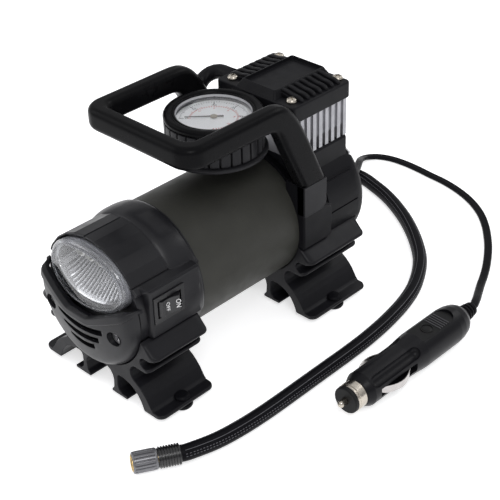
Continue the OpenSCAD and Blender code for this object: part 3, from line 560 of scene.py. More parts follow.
# ------------------------------------------------------------------ lamp head
material("lens_band", (0.60, 0.61, 0.64), 0.07, grain=0.006, grain_scale=500, var=0.06, coat=0.3, transmission=0.84, ior=1.46)
material("led_plate", (0.02, 0.02, 0.022), 0.3, metal=0.2, grain=0.01, var=0.15)
# the diode cups glow faintly: painted light, the diodes are not lit
material("led_cup_glow", (0.90, 0.89, 0.86), 0.25, metal=0.3, grain=0.004, var=0.03, emission=(1, 1, 1, 0.12))
material("die_yellow", (0.55, 0.42, 0.16), 0.3, grain=0.01, var=0.15)
material("lens_rim", (0.40, 0.40, 0.42), 0.22, grain=0.01, grain_scale=700, var=0.05, coat=0.5)
FAC = [25.6, 33.4, 45, 57.3, 70.5, 82.5, 94, 107, 120, 133, 146.6, 154]


def lens_dir(g=0.0, n=720):
    """Lens outline, grown by g, as distance from (0, 74.6) by direction."""
    pts = []
    for k in range(n):
        t = 2 * math.pi * k / n
        c, s = math.cos(t), math.sin(t)
        if s >= 0:
            pts.append(((29.9 + g) * c, (20.1 + g) * abs(s) ** 0.85))
        else:
            pts.append(((29.9 + g) * c, -(15.6 + g) * abs(s) ** 0.9))
    return pts


LENS0 = lens_dir()
_la = [math.atan2(b, a) % (2 * math.pi) for a, b in LENS0]


def lens_at(phi, g=0.0):
    """Point of the outline in direction phi from (0, 74.6), moved out by g."""
    phi %= 2 * math.pi
    n = len(LENS0)
    lo = 0
    for k in range(n):
        a, b = _la[k], _la[(k + 1) % n]
        if k == n - 1:
            b += 2 * math.pi
        if a <= phi <= b or (k == n - 1 and phi <= b - 2 * math.pi):
            f = (phi - a) / (b - a) if b > a else 0
            p, q = LENS0[k], LENS0[(k + 1) % n]
            x, z = p[0] + (q[0] - p[0]) * f, p[1] + (q[1] - p[1]) * f
            tx, tz = q[0] - p[0], q[1] - p[1]
            l = math.hypot(tx, tz)
            return (x + g * tz / l, 74.6 + z - g * tx / l)
    return (LENS0[0][0] + g, 74.6)


def lamp_r(th, y):
    """Outer radius of the lamp housing at an angle in degrees and a depth."""
    t = th if th <= 180 else th - 360
    top = 1 - ss(-15.2, -14.0, -abs(t if abs(t) <= 90 else 180 - abs(t))) if t < 0 else 1.0
    if t < 0:
        tt = t if t > -90 else -180 - t
        top = ss(-15.0, -14.2, tt)
    r = 37.6
    if FAC[0] <= t <= FAC[-1]:
        for a, b in zip(FAC[:-1], FAC[1:]):
            if a <= t <= b:
                h = math.radians((b - a) / 2)
                r = 39.05 * math.cos(h) / math.cos(math.radians(t - (a + b) / 2))
        for g, w, dp in ((33.4, 0.3, 0.9), (94.0, 0.45, 0.8), (146.6, 0.45, 0.8)):
            d = abs(t - g) * 0.68
            r -= dp * (1 - ss(w * 0.55, w * 1.25, d)) * ss(-57.6, -58.6, y)
        r = 37.6 + (r - 37.6) * ss(FAC[0] - 0.01, FAC[0] + 0.5, t) * (1 - ss(FAC[-1] - 0.8, FAC[-1], t))
    # shoulder that runs down to the switch block
    if 26.6 < t < 33.3:
        ax_, az_ = 39.05 * math.cos(math.radians(33.4)), 39.05 * math.sin(math.radians(33.4))
        bx_, bz_ = 39.4, 20.45
        c_, s_ = math.cos(math.radians(t)), math.sin(math.radians(t))
        dx_, dz_ = bx_ - ax_, bz_ - az_
        rs = (ax_ * dz_ - az_ * dx_) / (c_ * dz_ - s_ * dx_)
        k_ = ss(-80.6, -78.4, y) * ss(-42.6, -43.6, y)
        k2 = 1 - ss(32.9, 33.25, t)
        r = max(r, r + (min(rs, 44.2) - r) * max(k_, 0.25) * (0.0 if rs < r else 1.0) * (k2 if rs > r else 1))
    # low in its cradle
    low = 38.35 * (1 - top) * ss(-57.6, -57.0, y)
    r = max(r, low) if y > -58 else r
    # pads end in the ring
    ring = 0.0
    _rp = [(-58.4, 38.4), (-57.9, 38.9), (-57.5, 39.25), (-56.7, 39.6), (-55.5, 40.0), (-54.5, 40.25), (-53, 40.55), (-51, 40.75), (-47, 40.8),
           (-44, 40.6), (-41.2, 40.2), (-40.3, 39.8), (-39.9, 39.2)]
    for (y0, r0), (y1, r1) in zip(_rp[:-1], _rp[1:]):
        if y0 <= y <= y1:
            ring = r0 + (r1 - r0) * (y - y0) / (y1 - y0)
    if y > -39.9:
        ring = 39.2
    r = max(r, ring * top)
    # block that carries the switch
    if -40 < t < 60:
        c, s = math.cos(math.radians(t)), math.sin(math.radians(t))
        b = 40.3 / c
        if s > 0:
            b2 = 19.9 / s
        else:
            b2 = 9.5 / -s if s < 0 else 999
        # softened corner
        e = 0.9
        m = min(b, b2)
        d = abs(b - b2)
        if d < 3 * e:
            m -= (1 - d / (3 * e)) ** 2 * 0.45
        q = 1.0
        u = (y + 78.6) / 1.5
        if u < 1:
            q = math.sqrt(max(0.0, 1 - (1 - max(0.0, u)) ** 2)) if u > 0 else 0.0
        u = (-42.6 - y) / 1.0
        if u < 1:
            q = min(q, max(0.0, u))
        blk = 36.5 + (m - 36.5) * q
        if m > 36.5:
            r = max(r, blk)
    return r


def lamp_grid():
    th = set(float(a) for a in range(0, 360, 3))
    for a in [25.6, 26.3, 26.6, 33.4, 45, 57.3, 70.5, 82.5, 94, 107, 120, 133, 146.6, 154, -13.4, 345, 195, 14, 30]:
        for d in (-1.4, -0.9, -0.6, -0.4, -0.2, 0, 0.2, 0.4, 0.6, 0.9, 1.4):
            th.add((a + d) % 360)
    th = sorted(th)
    out = [th[0]]
    for a in th[1:]:
        if a - out[-1] > 0.08:
            out.append(a)
    return out


_TH = lamp_grid()
_YS = [-39.2, -39.6, -39.9, -40.3, -41.2, -42.0, -42.6, -43.1, -43.6, -44.5, -47, -51, -53, -54.5, -55.5, -56.2, -56.7, -57.0, -57.25, -57.5,
       -57.7, -57.9, -58.4, -58.7, -60, -64, -68, -72, -75, -76.6, -77.2, -77.6, -77.9, -78.15, -78.35, -78.5, -78.62, -79.2, -80, -80.6, -81.3, -82.2, -82.9]
_rings = []
for _y in _YS:
    _rings.append([(lamp_r(a, _y) * math.cos(math.radians(a)), _y, AZ + lamp_r(a, _y) * math.sin(math.radians(a))) for a in _TH])


def lamp_front(dr, y):
    return [((lamp_r(a, -82.9) - dr) * math.cos(math.radians(a)), y, AZ + (lamp_r(a, -82.9) - dr) * math.sin(math.radians(a)))
            for a in _TH]


def lamp_open(g, y):
    out = []
    for a in _TH:
        r = 38.4
        px, pz = r * math.cos(math.radians(a)), AZ + r * math.sin(math.radians(a))
        x, z = lens_at(math.atan2(pz - 74.6, px), g)
        out.append((x, y, z))
    return out


_rings += [lamp_front(0.12, -83.15), lamp_front(0.35, -83.35), lamp_front(0.75, -83.45)]
_mid = [tuple((p[i] * 0.45 + q[i] * 0.55) for i in range(3)) for p, q in zip(lamp_front(0.75, -83.35), lamp_open(1.2, -82.9))]
_rings += [_mid, lamp_open(1.1, -82.7), lamp_open(0.6, -82.3), lamp_open(0.35, -81.6), lamp_open(0.3, -66.0)]
_rings += [[(35 * math.cos(math.radians(a)), -62, AZ + 35 * math.sin(math.radians(a))) for a in _TH],
           [(36.4 * math.cos(math.radians(a)), -39.2, AZ + 36.4 * math.sin(math.radians(a))) for a in _TH]]
lamp = rings_mesh("lamp_housing_v", _rings, cap0=False, cap1=False, loop=True)
_cut = prism("cut", [(-76.3, 59.2), (-55.5, 59.2), (-55.5, 73.8), (-76.3, 73.8)], lambda a, b, h: (h, a, b), 20, 45)
boolean(lamp, _cut)
settle(lamp, angle=40)
place(lamp, "base", "black_plastic", "lamp_housing")

# bright flange of the lens, under the clear dome: a milky plastic, made pale enough to lift it out of the shade there,
# so partly painted light
_n = 240


def outline(g, y, n=_n, lift=0.0):
    return [(lambda p: (p[0], y, p[1] + lift))(lens_at(2 * math.pi * k / n, g)) for k in range(n)]


flange = rings_mesh("lens_flange", [outline(-0.35, -81.7), outline(-0.5, -82.5), outline(-1.0, -82.9), outline(-2.6, -82.6), outline(-3.6, -82.9),
                                    outline(-4.1, -82.7), outline(-4.3, -82.0), outline(-4.3, -81.0), outline(-0.35, -81.0)],
                    cap0=False, cap1=False, loop=True)
settle(flange, angle=50)
place(flange, "base", "clear_plastic", mat="lens_rim")


# chrome bowl with flutes fanned out from the row of diodes
def bowl_ring(s, n=_n * 2, thick=0.0):
    out = []
    for k in range(n):
        t = 2 * math.pi * k / n
        x1, z1 = lens_at(t, -4.2)
        # nearest place on the diode ledge, a long slot
        hx = max(-17.0, min(17.0, x1 * 0.66))
        dx, dz = x1 - hx, z1 - 80.8
        l = max(0.01, math.hypot(dx, dz))
        x0, z0 = hx + dx / l * 4.5, 80.8 + dz / l * 4.5
        x, z = x0 + (x1 - x0) * s, z0 + (z1 - z0) * s
        ye = max(-87.2, min(-82.4, 28.2 - math.sqrt(120.0 ** 2 - x1 * x1 - (z1 - 63) ** 2) + 4.6))
        y = ye + (-73.0 - ye) * (1 - s ** 1.45)
        if z1 < 77.5:
            w = math.sin(math.pi * min(1.0, s * 1.08 + 0.02)) ** 0.6
            u = (x1 + 30) / 2.7
            y -= 1.15 * w * (abs(math.cos(math.pi * u)) ** 0.8 - 0.5)
        elif z1 > 84:
            w = math.sin(math.pi * s) ** 0.7
            u = (x1 + 30) / 4.4
            y -= 0.9 * w * (abs(math.cos(math.pi * u)) ** 0.8 - 0.5)
        out.append((x, y + thick, z))
    return out


_ss = [1.0, 0.97, 0.93, 0.88, 0.8, 0.7, 0.6, 0.5, 0.4, 0.3, 0.2, 0.12, 0.05, 0.0]
_front = [bowl_ring(s) for s in _ss]


def ledge(f, y):
    return [(p[0] * f, y, 80.8 + (p[2] - 80.8) * f) for p in bowl_ring(0.0)]


_front += [ledge(0.97, -73.4), ledge(0.6, -73.4), ledge(0.0, -73.4)]
_back = [ledge(0.0, -71.6), ledge(0.97, -71.6)] + [bowl_ring(s, thick=1.3) for s in (0.3, 0.6, 0.85, 1.0)]
bowl = rings_mesh("lamp_reflector_v", _front + _back, cap0=False, cap1=False, loop=True)
settle(bowl, angle=45, weighted=False)
material("bowl_chrome", (0.47, 0.47, 0.48), 0.06, metal=1.0, grain=0.004, grain_scale=500, var=0.03, rvar=0.02)
_nt = MATS["bowl_chrome"].node_tree
_bb = _nt.nodes["Principled BSDF"]
_src = _bb.inputs["Base Color"].links[0].from_socket
# painted shade: pointiness darkens the base colour to a tenth in the hollows of the flutes, while the ridges keep the
# full colour
_geo = _nt.nodes.new("ShaderNodeNewGeometry")
_flute_shade_ramp = _nt.nodes.new("ShaderNodeValToRGB")
_flute_shade_ramp.color_ramp.elements[0].position = 0.468
_flute_shade_ramp.color_ramp.elements[0].color = (0.10, 0.10, 0.11, 1)
_flute_shade_ramp.color_ramp.elements[1].position = 0.532
_flute_shade_ramp.color_ramp.elements[1].color = (1.0, 1.0, 1.0, 1)
_flute_shade_mix = _nt.nodes.new("ShaderNodeMix")
_flute_shade_mix.data_type = "RGBA"
_flute_shade_mix.blend_type = "MULTIPLY"
_flute_shade_mix.inputs["Factor"].default_value = 1.0
_nt.links.new(_geo.outputs["Pointiness"], _flute_shade_ramp.inputs["Fac"])
_nt.links.new(_src, _flute_shade_mix.inputs["A"])
_nt.links.new(_flute_shade_ramp.outputs["Color"], _flute_shade_mix.inputs["B"])
_nt.links.new(_flute_shade_mix.outputs["Result"], _bb.inputs["Base Color"])
place(bowl, "base", "chrome", "lamp_reflector", mat="bowl_chrome")
_plate = rings_mesh("lamp_led_plate", [ledge(0.0, -73.42), ledge(0.93, -73.42), ledge(0.93, -73.75), ledge(0.0, -73.75)], cap0=False, cap1=False, loop=True)
settle(_plate, angle=40)
place(_plate, "base", "grey_plastic", mat="led_plate")

# diodes: a dome on a collar, in small cups that glow with painted light
LEDS = (-16, -8, 0, 8, 16)
for i, x in enumerate(LEDS):
    led = revolve("lamp_led_%d" % i, [(0.001, -79.0), (0.9, -78.8), (1.7, -78.2), (2.25, -77.2), (2.4, -76.0), (2.4, -74.2),
                                      (2.8, -74.1), (2.8, -73.3), (2.5, -73.3), (2.5, -66.0), (0.001, -66.0)], 32, on_y(x, 80.8))
    settle(led, angle=40)
    place(led, "base", "led_resin", *(["lamp_leds"] if i == 0 else []))
    core = revolve("lamp_die_%d" % i, [(0.001, -75.6), (0.9, -76.6), (1.3, -76.6), (1.0, -74.6), (0.001, -74.6)], 24, on_y(x, 80.8))
    settle(core, angle=40)
    place(core, "base", "led_resin", mat="die_yellow")
    sock = revolve("lamp_socket_%d" % i, [(2.85, -73.3), (2.9, -74.0), (3.3, -74.0), (3.4, -73.3)], 32, on_y(x, 80.8))
    settle(sock, angle=40)
    place(sock, "base", "grey_plastic", mat="button_black")
    cup = revolve("lamp_cup_%d" % i, [(2.9, -73.3), (3.1, -75.0), (3.45, -76.6), (3.1, -76.9), (2.75, -75.6), (2.6, -73.3)], 32,
                  on_y(x, 80.8))
    settle(cup, angle=50)
    place(cup, "base", "chrome", mat="led_cup_glow")


# clear dome
def dome_y(x, z, r=120.0):
    return 28.2 - math.sqrt(r * r - x * x - (z - 63) ** 2)


def dome_ring(g, dy, r=120.0):
    return [(p[0], dome_y(p[0], p[2], r) + dy, p[2]) for p in outline(g, 0)]


def dome_in(f, r=120.0, g=-2.6):
    return [(lambda x, z: (x, dome_y(x, z, r), z))(p[0] * f, 76.0 + (p[2] - 76.0) * f) for p in outline(g, 0)]


_outer = [dome_in(f) for f in (0.0, 0.2, 0.4, 0.6, 0.75, 0.88, 0.96, 1.0)]
_inner = [dome_ring(-2.6, 2.3)] + [dome_in(f, 117.7, -2.6) for f in (0.99, 0.96, 0.88, 0.75, 0.6, 0.4, 0.2, 0.0)]
lens = rings_mesh("lamp_lens_v", _outer + _inner, cap0=False, cap1=False, loop=True)
settle(lens, angle=60)
place(lens, "base", "clear_plastic", "lamp_lens")
# moulded band round the dome: milky side wall and front border
_bd = [dome_ring(-2.65, -0.02), dome_ring(-2.4, -0.14), dome_ring(-2.0, -0.02), dome_ring(-1.4, 0.06), dome_ring(-0.9, 0.3), dome_ring(-0.4, 0.7), dome_ring(-0.1, 1.25),
       dome_ring(0.0, 1.9), outline(0.0, -84.2), outline(0.05, -83.2), outline(-0.05, -81.4)]
_bd += [outline(-1.9, -81.4), dome_ring(-1.9, 3.2), dome_ring(-2.2, 2.6), dome_ring(-2.65, 2.3)]
band = rings_mesh("lens_band", _bd, cap0=False, cap1=False, loop=True)
settle(band, angle=60)
place(band, "base", "clear_plastic", mat="lens_band")

# ------------------------------------------------------------------ vent mask
TOPL = [(-38.6, 70.2), (-28, 65.2), (-9.5, 56.4), (9.5, 56.4), (28, 65.2), (38.6, 70.2)]


def mask_y(x, z):
    rr = math.hypot(x, z - AZ)
    y = -96 + rr * rr / 252
    if rr > 32.5:
        t = min(1.0, (rr - 32.5) / 5.6)
        y += 6.9 * (1 - math.sqrt(max(0.0, 1 - t * t)))
    return min(y, -83.6)


def mask_edge(phi):
    """Where a ray from (0, 44) leaves the mask."""
    c, s = math.cos(phi), math.sin(phi)
    # circle of radius 38.05 round the axis
    b = s * (44 - AZ)
    best = -b + math.sqrt(b * b - ((44 - AZ) ** 2 - 38.05 ** 2))
    for (x0, z0), (x1, z1) in zip(TOPL[:-1], TOPL[1:]):
        ex, ez = x1 - x0, z1 - z0
        den = c * ez - s * ex
        if abs(den) < 1e-9:
            continue
        t = (x0 * ez - (z0 - 44) * ex) / den
        u = (x0 * s - (z0 - 44) * c) / den
        if t > 0 and -0.02 <= u <= 1.02:
            best = min(best, t)
    return best


_ph = [math.radians(a * 0.75) for a in range(480)]
_edge = [mask_edge(p) for p in _ph]


def mask_ring(s, dy=0.0):
    out = []
    for p, e in zip(_ph, _edge):
        x, z = s * e * math.cos(p), 44 + s * e * math.sin(p)
        out.append((x, min(mask_y(x, z) + dy, -83.5), z))
    return out


_sr = [0.0, 0.12, 0.25, 0.38, 0.5, 0.6, 0.68, 0.75, 0.81, 0.86, 0.9, 0.93, 0.955, 0.975, 0.99, 1.0]
mask = rings_mesh("vent_mask_v", [mask_ring(s) for s in _sr] + [mask_ring(s, 2.4) for s in (0.97, 0.9, 0.75, 0.5, 0.25, 0.0)],
                  cap0=False, cap1=False, loop=True)


def slot_outline(w, z, h, c, tip=0.35):
    up = [(w * i / 14, z + c * (i / 14) ** 2 + h / 2 * (1 - 0.55 * max(0.0, -i / 14) ** 2)) for i in range(-14, 15)]
    dn = [(w * i / 14, z + c * (i / 14) ** 2 - h / 2 * (1 - 0.55 * max(0.0, -i / 14) ** 2)) for i in range(14, -15, -1)]
    return rounded(up + dn, [1.1 if k in (0, 28, 29, 57) else 0 for k in range(58)], 4)


for _w, _z, _h, _c in ((18, 49.0, 3.9, 2.6), (14.4, 42.9, 3.8, 2.1), (9.8, 36.9, 3.6, 1.8)):
    boolean(mask, prism("cut", slot_outline(_w, _z, _h, _c), lambda a, b, h: (a, h, b), -99, -84))
for _s in (-1, 1):
    boolean(mask, revolve("cut", [(0.001, -99), (4.5, -99), (4.5, -83), (0.001, -83)], 40, on_y(_s * 25.8, 51)))
settle(mask, angle=38, w=0.28, seg=2, limit=55, clamp=True)
place(mask, "base", "black_plastic", "vent_mask")

# the rims and floors of the screw wells
for _s in (-1, 1):
    yb = mask_y(_s * 25.8, 51)
    well = revolve("mask_well_%s" % ("r" if _s > 0 else "l"),
                   [(4.45, yb + 0.35), (4.35, yb + 0.6), (4.25, yb + 1.2), (4.25, -88.6), (0.001, -88.6), (0.001, -87.9), (4.6, -87.9), (4.6, yb + 0.4)],
                   40, on_y(_s * 25.8, 51))
    settle(well, angle=50)
    place(well, "base", "black_plastic")

# the thick lip under the lens: three straight runs with eased corners
_path2 = rounded([(-38.3, 69.7), (-8.6, 55.5), (8.6, 55.5), (38.3, 69.7)], 8.0, 6, closed=False)
_lp = []
for (xa, za), (xb, zb) in zip(_path2[:-1], _path2[1:]):
    l = math.hypot(xb - xa, zb - za)
    k = max(1, int(l / 1.6))
    for i in range(k):
        _lp.append((xa + (xb - xa) * i / k, za + (zb - za) * i / k))
_lp.append(_path2[-1])
_rings = []
for i, (x, z) in enumerate(_lp):
    a, b = _lp[max(0, i - 1)], _lp[min(len(_lp) - 1, i + 1)]
    tx, tz = b[0] - a[0], b[1] - a[1]
    l = math.hypot(tx, tz)
    wx, wz = -tz / l, tx / l           # up across the lip
    ax = abs(x)
    half = 2.1 + 0.35 * ss(12, 27, ax) - 1.7 * ss(30, 38.3, ax)
    yo = mask_y(x - wx * half, z - wz * half)
    yi = min(mask_y(x + wx * half, z + wz * half), yo + 0.4)
    end = ss(34, 38.3, ax)
    sec = rounded([(-half - 0.5, 0.6), (-half, -1.5 * (1 - 0.6 * end)), (half - 0.2, -1.1 * (1 - 0.6 * end)), (half + 0.3, 1.6), (half - 0.6, 4.6), (-half - 0.4, 4.6)],
                  [0.2, 0.9, 0.9, 0.6, 0.3, 0.2], 4)
    ring = []
    for u, v in sec:
        f = (u + half) / (2 * half)
        y = yo + (yi - yo) * f + v
        ring.append((x + wx * u, min(y, -82.0), z + wz * u))
    _rings.append(ring)
lip = rings_mesh("mask_lip", _rings)
settle(lip, angle=50)
place(lip, "base", "black_plastic")
# ------------------------------------------------------------------ switch
SWY, SWZ, RX = -65.9, 66.5, 37.2
clone("switch_body", 0.35, seg=3)


def rocker_piece():
    """The rocker: a dished face between two rounded ends, on its pivot."""
    top = []
    n = 24
    for i in range(n + 1):
        y = -7.75 + 15.5 * i / n
        x = min(17.6 - math.sqrt(12.6 ** 2 - y * y), math.sqrt(max(0.0, 7.95 ** 2 - y * y)))
        top.append((x, y))
    prof = [(-4.4, -6.3)] + [(top[0][0] - 0.9, top[0][1])] + [(x, y) for x, y in top] + [(top[-1][0] - 0.9, top[-1][1])] + [(-4.4, 6.3)]
    prof = rounded(prof, [0.4, 0.2, 0.45] + [0] * (n - 1) + [0.45, 0.2, 0.4], 3)
    c, s = math.cos(math.radians(-8)), math.sin(math.radians(-8))
    put = lambda a, b, h: (RX + a * c - b * s, SWY + a * s + b * c, h)
    o = prism("switch_rocker_v", prof, put, SWZ - 4.85, SWZ + 4.85)
    settle(o, angle=35, w=0.3, seg=3, limit=50)
    return o


place(rocker_piece(), "rocker", "switch_plastic", "switch_rocker")


def rocker_text(name, word, yc, size):
    cu = bpy.data.curves.new(name, "FONT")
    cu.body = word
    cu.align_x = "CENTER"
    cu.align_y = "CENTER"
    cu.size = size
    cu.extrude = 0.0
    cu.offset = 0.012
    o = bpy.data.objects.new(name, cu)
    scene.collection.objects.link(o)
    dg = bpy.context.evaluated_depsgraph_get()
    dg.update()
    me = bpy.data.meshes.new_from_object(o.evaluated_get(dg))
    bpy.data.objects.remove(o)
    bm = bmesh.new()
    bm.from_mesh(me)
    bmesh.ops.triangulate(bm, faces=bm.faces)
    bmesh.ops.remove_doubles(bm, verts=bm.verts, dist=1e-4)
    r = bmesh.ops.extrude_face_region(bm, geom=bm.faces[:])
    up = [v for v in r["geom"] if isinstance(v, bmesh.types.BMVert)]
    upset = set(up)
    c, s = math.cos(math.radians(-8)), math.sin(math.radians(-8))
    for v in bm.verts:
        a, b = v.co.x, v.co.y      # a runs down, b points to the rear
        y = yc + b
        x = 17.6 - math.sqrt(12.6 ** 2 - y * y) + (0.07 if v in upset else -0.05)
        z = SWZ - a
        v.co = Vector(((RX + x * c - y * s) * MM, (SWY + x * s + y * c) * MM, z * MM))
    bmesh.ops.recalc_face_normals(bm, faces=bm.faces)
    me2 = bpy.data.meshes.new(name)
    bm.to_mesh(me2)
    bm.free()
    o = bpy.data.objects.new(name, me2)
    scene.collection.objects.link(o)
    return place(o, "rocker", "dial_white", mat="print_white")


rocker_text("rocker_mark_off", "OFF", -1.4, 3.2)
rocker_text("rocker_mark_on", "ON", 4.6, 3.4)
# ------------------------------------------------------------------ feet
HALF = [(0, 19.2), (6.5, 18.9), (9.2, 17.4), (10.9, 15), (11.5, 12), (11.1, 6.6), (9.2, 4.3), (9.2, 2.9),
        (22, 2.9), (22, 4.9), (17.4, 5.0), (15.4, 6.6), (14.6, 9.5), (15.0, 17.3),
        (20.7, 17.3), (25.6, 16.0), (29, 13.9), (31.6, 11.2), (33.6, 8.1), (35.0, 5.0), (35.5, 2.9),
        (49, 2.9), (50, 3.7), (50, 5.0), (49.3, 5.6), (43.4, 5.7), (41.8, 7.1), (40.4, 9.4), (38.5, 12.4), (36.2, 15.1),
        (33.4, 17.6), (30.6, 19.5), (28.8, 20.6),
        (27.4, 22.2), (26.6, 24.4), (26.7, 26.8), (27.8, 29.0), (29.7, 30.4), (32, 30.8),
        (40.6, 30.6), (41.8, 31.2), (42.1, 32.2), (41.5, 33.2), (38.8, 33.3),
        (37.1, 33.8), (35.9, 35.1), (35.5, 36.8), (36.0, 38.5), (37.3, 39.7), (39, 40.1),
        (45.2, 40.0), (47.2, 40.6), (48.3, 41.8), (47.9, 43.1), (39.6, 48.6), (37.45, 49.85)]


def foot_outline():
    n = len(HALF)
    right = rounded(HALF, [0 if k in (0, n - 1) else 2.2 for k in range(n)], 3, closed=False)
    left = [(-x, z) for x, z in right[::-1]]
    arc = []
    a0 = math.degrees(math.atan2(49.85 - AZ, 37.45))
    m = 46
    for k in range(1, m):
        a = math.radians(a0 + (-180 - 2 * a0) * k / m)
        arc.append((38.5 * math.cos(a), AZ + 38.5 * math.sin(a)))
    # right side outwards and up, over the cradle, down the left side
    return right + arc + left[:-1]


FOUT = foot_outline()


def foot_piece(name, y0, y1, node):
    n = len(FOUT)
    nor = []
    area = sum(FOUT[i][0] * FOUT[(i + 1) % n][1] - FOUT[(i + 1) % n][0] * FOUT[i][1] for i in range(n))
    sg = 1 if area > 0 else -1
    for i in range(n):
        a, b = FOUT[i - 1], FOUT[(i + 1) % n]
        tx, tz = b[0] - a[0], b[1] - a[1]
        l = math.hypot(tx, tz) or 1
        nor.append((sg * tz / l, -sg * tx / l))
    rings = []
    R = 4.2
    ds = [0.0, 0.06, 0.2, 0.45, 0.9, 1.5, 2.3, 3.2, R]
    mid = [R + (y1 - y0 - 2 * R) * k / 4 for k in range(1, 4)]
    stations = ds + mid + [(y1 - y0) - d for d in ds[::-1]]
    for d in stations:
        e = min(d, (y1 - y0) - d)
        inset = 0.42 * (1 - math.sqrt(max(0.0, 1 - (1 - min(1.0, e / 0.45)) ** 2)))
        cut = R - math.sqrt(max(0.0, R * R - (R - min(R, e)) ** 2))
        ring = []
        for (x, z), (nx, nz) in zip(FOUT, nor):
            ax = abs(x)
            w = 0.0
            if z < 6.2 and ax > 41:
                w = ss(41, 49, ax)
            elif z > 39 and ax > 41:
                w = ss(40, 47.6, ax)
            elif 30 < z < 34 and ax > 38:
                w = ss(37.5, 41.6, ax) * 0.6
            xx = x - math.copysign(cut * w, x)
            ring.append((xx - nx * inset, y0 + d, z - nz * inset))
        rings.append(ring)
    o = rings_mesh(name, rings, cap0=False, cap1=False)
    bm = bmesh.new()
    bm.from_mesh(o.data)
    for ring in (rings[0], rings[-1]):
        vs = [bm.verts.new(Vector(p) * MM) for p in ring]
        for tri in tessellate_polygon([[Vector((p[0], p[2], 0)) for p in ring]]):
            try:
                bm.faces.new([vs[k] for k in tri])
            except ValueError:
                pass
    bmesh.ops.remove_doubles(bm, verts=bm.verts, dist=1e-7)
    bmesh.ops.recalc_face_normals(bm, faces=bm.faces)
    bm.to_mesh(o.data)
    bm.free()
    settle(o, angle=44)
    place(o, "base", "foot_plastic", node)
    return o


foot_piece("front_foot_v", -85, -45, "front_foot")
foot_piece("rear_foot_v", 37, 85.6, "rear_foot")
# rubber buttons: a waisted plug with a low dome above the plate
for _i, (_x, _y) in enumerate(((44.4, -65), (-44.4, -65), (44.4, 61.3), (-44.4, 61.3))):
    _o = revolve("rubber_foot_%d" % _i, rounded([(0.001, 0), (5.1, 0), (6.0, 1.1), (6.0, 2.9), (2.5, 2.9), (2.5, 5.7), (4.5, 5.7), (4.5, 6.9), (3.4, 7.9), (0.001, 8.2)],
                                                [0, 0.5, 0.8, 0.3, 0.1, 0.1, 0.3, 0.8, 1.4, 0], 4), 48, on_z(_x, _y))
    settle(_o, angle=50)
    place(_o, "base", "rubber", *(["rubber_feet"] if _i == 0 else []))
# ------------------------------------------------------------------ handle
def handle_piece():
    """One loop of soft rounded section: down each leg, along each arm, across the front."""
    rings = []
    NS = 40

    def sect(o, e1, w1, e2, w2, r):
        """Rounded rectangle round o: half sizes w1 along e1 and w2 along e2."""
        out = []
        pts = rounded([(-w1, -w2), (w1, -w2), (w1, w2), (-w1, w2)], r, 9)
        for a, b in pts:
            out.append(o + e1 * a + e2 * b)
        return out

    X = Vector((1, 0, 0))
    # stations of one leg and arm in (y, z): inner point, outer point
    leg = [((37.7, 91.0), (56.3, 91.0)), ((37.6, 91.4), (56.15, 91.4)), ((36.6, 93.3), (55.3, 93.3)), ((33.4, 100), (52.2, 100)),
           ((29.5, 108), (48.5, 108.2)), ((25.6, 116), (44.8, 116.4)), ((22.2, 123.2), (41.0, 124.2)), ((20.2, 127.8), (37.6, 130.8)),
           ((18.4, 131.0), (34.2, 136.8)), ((16.2, 133.1), (30.4, 141.8)), ((13.6, 134.3), (26.2, 145.6)), ((10.6, 134.8), (21.2, 147.8)),
           ((7.0, 134.8), (15.0, 148.3)), ((2.0, 134.8), (7.0, 148.3)), ((-4, 134.8), (-3, 148.3)), ((-16, 134.8), (-16, 148.3))]
    side = []
    for k, ((yi, zi), (yo, zo)) in enumerate(leg):
        a, b = Vector((0, yi, zi)), Vector((0, yo, zo))
        side.append((a, b))
    stations = []
    for sgn in (1,):
        for k, (a, b) in enumerate(side):
            c = (a + b) / 2
            e2 = (b - a).normalized()
            w2 = (b - a).length / 2
            if k == 0:
                w1, r = 4.9, 3.0
                w2 -= 0.35
            elif k == 1:
                w1, r = 5.25, 3.4
            else:
                w1, r = 5.25, 3.6 + 0.4 * ss(2, 9, k)
            stations.append(("leg", c, e2, w2, w1, r))
    # plan corner: outer radius 12, inner 6
    out = []
    right = []
    for kind, c, e2, w2, w1, r in stations:
        right.append(sect(c + X * 37.3, X, w1, e2, w2, r))
    Z = Vector((0, 0, 1))
    m = 10
    corner = []
    for k in range(m + 1):
        t = math.pi / 2 * k / m
        d = Vector((math.cos(t), -math.sin(t), 0))
        inner = Vector((26.05, -32.0, 0)) + d * 6.0
        outer = Vector((30.55, -36.5, 0)) + d * 12.0
        c = (inner + outer) / 2
        c.z = 141.55
        e1 = (outer - inner).normalized()
        corner.append(sect(c, e1, (outer - inner).length / 2, Z, 6.75, 4.2))
    right += [sect(Vector((37.3, -24, 141.55)), X, 5.25, Z, 6.75, 4.1)] + corner
    bar = [sect(Vector((x, -43.25, 141.55)), Vector((0, -1, 0)), 5.25, Z, 6.75, 4.2) for x in (20, 12, 4)]
    right += bar
    left = [[Vector((-p.x, p.y, p.z)) for p in ring] for ring in right[::-1]]
    rings = right + left
    rings = [[tuple(p) for p in ring] for ring in rings]
    o = rings_mesh("handle_v", rings)
    md = o.modifiers.new("sub", "SUBSURF")
    md.levels = 1
    md.render_levels = 1
    settle(o, angle=50)
    return o


place(handle_piece(), "base", "handle_plastic", "handle")
# ------------------------------------------------------------------ gauge
GX, GY = 0.0, 10.6
gz = on_z(GX, GY)
_b = revolve("gauge_bezel_v", rounded([(21.35, 133.7), (21.35, 135.75), (22.5, 136.05), (22.75, 135.7), (23.1, 135.7), (23.6, 136.35), (24.8, 136.7), (26.2, 136.6),
                                       (27.4, 136.0), (28.0, 134.9), (28.0, 133.65), (22.0, 133.6)],
                                      [0.2, 0.35, 0.2, 0.15, 0.15, 0.5, 1.2, 1.4, 1.2, 0.6, 0.2, 0], 4), 144, gz)
settle(_b, angle=60)
place(_b, "base", SLOT["gauge_bezel"], "gauge_bezel", mat="handle_plastic")
